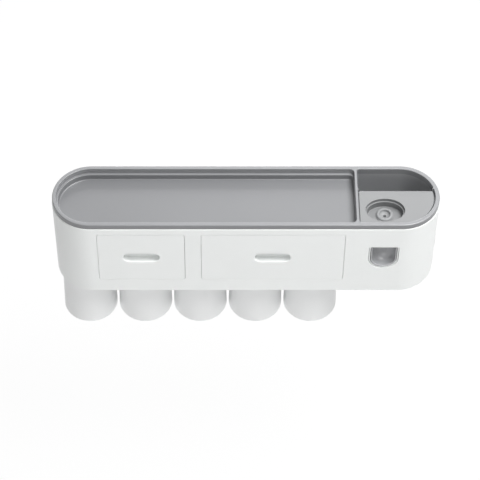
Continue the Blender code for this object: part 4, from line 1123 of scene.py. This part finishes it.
valve_low, valve_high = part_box("outlet_valve")
valve_radius = 0.0032
valve_tip_radius = 0.0022
valve_tip_round = 0.0004
valve_bore_radius = 0.0010
collar = 0.0015
profile = [(valve_radius, valve_high.z), (valve_radius, valve_high.z - collar)]
profile += corner_arc(
    valve_tip_radius - valve_tip_round, valve_low.z + valve_tip_round, valve_tip_round, 20, -110
)
profile += [(valve_bore_radius, valve_low.z), (valve_bore_radius, valve_high.z)]
valve_y = (valve_low.y + valve_high.y) / 2
valve = turned("grey_outlet_valve", nozzle_x, valve_y, profile, sides=64, ring=True)
smooth(valve)
settle(valve, soft_silicone, "holder", "soft_grey", "outlet_valve")

# The wall plate is a flat white polypropylene moulding with two hooks, whose tongues stand up behind the
# shell's back wall. A pad of adhesive foam, a little smaller than the plate, sticks it to the wall.
plate_low, plate_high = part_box("wall_plate")
plate_thickness = 0.0020
plate_half_height = 0.0220
plate_corner = 0.0040
plate_front = plate_high.y - plate_thickness
hook_width = 0.0160
stem_low = -0.0043
stem_high = -seat_gap
tongue_thickness = 0.0020
tongue_top = 0.0080
plate = block(
    "white_wall_plate",
    (plate_low.x, plate_front, -plate_half_height),
    (plate_high.x, plate_high.y, plate_half_height),
)
round_edges(plate, [runs_along(1)], plate_corner, steps=8)
for side in (-1, 1):
    x = side * hook_spacing / 2
    left, right = x - hook_width / 2, x + hook_width / 2
    for name, back, top in (
        ("stem", plate_front + overrun, stem_high), ("tongue", plate_low.y + tongue_thickness, tongue_top)
    ):
        combine(plate, block(name, (left, plate_low.y, stem_low), (right, back, top)), "UNION")
soften(plate, edge_round)
smooth(plate)
settle(plate, white_pp, "wall_mount", "plate_white", "wall_plate")

# Closed-cell acrylic foam: a matt, grey-white sheet, with the cells that the cut opens as small pits.
foam = moulded("adhesive_foam", "C4C4C2", "B4B4B2", roughness=0.85, ior=1.47, grain=0.0008, relief=0.00008)
pad_edge_round = 0.00015
pad_low, pad_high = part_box("adhesive_pad")
pad = block("foam_adhesive_pad", pad_low, pad_high)
round_edges(pad, [runs_along(1)], plate_corner, steps=8)
soften(pad, pad_edge_round)
smooth(pad)
settle(pad, foam, "wall_mount", "foam_pad", "adhesive_pad")

# The studio: a long lens looks down on the holder, which hangs free over a plain pale floor. Six soft
# boxes light it: two above on the right, one behind, and three weak ones that lift the front.
view_height = math.radians(51.45)
view_turn = -0.0134
view_roll = 0.01035
view_distance = 2.20674
lens_length = 148.65
aim = Vector((-0.00604, middle_y, -0.02764))
camera = bpy.data.objects.new("camera", bpy.data.cameras.new("camera"))
bpy.context.scene.collection.objects.link(camera)
camera.data.lens = lens_length
facing = Matrix.Rotation(view_turn, 4, "Z") @ Matrix.Rotation(math.pi / 2 - view_height, 4, "X")
back_off = Matrix.Translation((0, 0, view_distance)) @ Matrix.Rotation(view_roll, 4, "Z")
camera.matrix_world = Matrix.Translation(aim) @ facing @ back_off
bpy.context.scene.camera = camera
bpy.context.scene.view_settings.view_transform = "Standard"

soft_box_side = 0.7
soft_boxes = (
    ("main_soft_box", Vector((0.549, -0.317, 1.359)), 26.9),
    ("back_soft_box", Vector((0, 1.312, 0.727)), 14.6),
    ("back_right_soft_box", Vector((0.549, 0.317, 1.359)), 10.6),
    ("front_low_soft_box", Vector((0, -1.467, 0.312)), 4.9),
    ("front_left_soft_box", Vector((-1.037, -1.037, 0.312)), 1.7),
    ("front_right_soft_box", Vector((0.812, -0.812, 0.964)), 1.4),
)
for name, place, power in soft_boxes:
    data = bpy.data.lights.new(name, "AREA")
    data.shape = "RECTANGLE"
    data.size = soft_box_side
    data.size_y = soft_box_side
    data.energy = power
    soft_box = bpy.data.objects.new(name, data)
    bpy.context.scene.collection.objects.link(soft_box)
    soft_box.location = place
    soft_box.rotation_euler = (-place).to_track_quat("-Z", "Y").to_euler()
    soft_box.visible_camera = False

# The background is white to the camera, in reflections and through what is clear, and lights the holder
# faintly. The floor is a white board that does the same and keeps a faint shadow.
studio_light = 0.12
white = (1, 1, 1, 1)
world = bpy.data.worlds.new("studio")
world.use_nodes = True
bpy.context.scene.world = world
sky = world.node_tree.nodes["Background"]
sky.inputs["Color"].default_value = white


def seen_white(owner):
    """A value that is 1 for a ray from the camera, a reflection or something clear, and 0 for others."""
    path = add(owner, "ShaderNodeLightPath")
    two = add(owner, "ShaderNodeMath", {"operation": "MAXIMUM"})
    three = add(owner, "ShaderNodeMath", {"operation": "MAXIMUM"})
    link(owner, path, "Is Camera Ray", two, 0)
    link(owner, path, "Is Glossy Ray", two, 1)
    link(owner, two, "Value", three, 0)
    link(owner, path, "Is Transmission Ray", three, 1)
    return three, "Value"


strength = add(
    world, "ShaderNodeMapRange", {"To Min": studio_light, "To Max": 1.0}, Value=seen_white(world)
)
link(world, strength, "Result", sky, "Strength")

floor_size = 12
floor_depth = -0.45
board_tone = 0.8
shadow_share = 0.08
bpy.ops.object.select_all(action="DESELECT")
bpy.ops.mesh.primitive_plane_add(size=floor_size, location=(0, 0, floor_depth))
floor = bpy.context.object
floor.name = "studio_floor"
pale, board = new_material("pale_floor")
floor.data.materials.append(pale)
board.inputs["Base Color"].default_value = (board_tone, board_tone, board_tone, 1)
board.inputs["Roughness"].default_value = 1.0
glow = add(pale, "ShaderNodeEmission", {"Color": white, "Strength": 1.0})
share = add(pale, "ShaderNodeMapRange", {"To Max": 1 - shadow_share}, Value=seen_white(pale))
blend = add(pale, "ShaderNodeMixShader")
link(pale, share, "Result", blend, "Fac")
link(pale, board, "BSDF", blend, 1)
link(pale, glow, "Emission", blend, 2)
link(pale, blend, "Shader", pale.node_tree.nodes["Material Output"], "Surface")
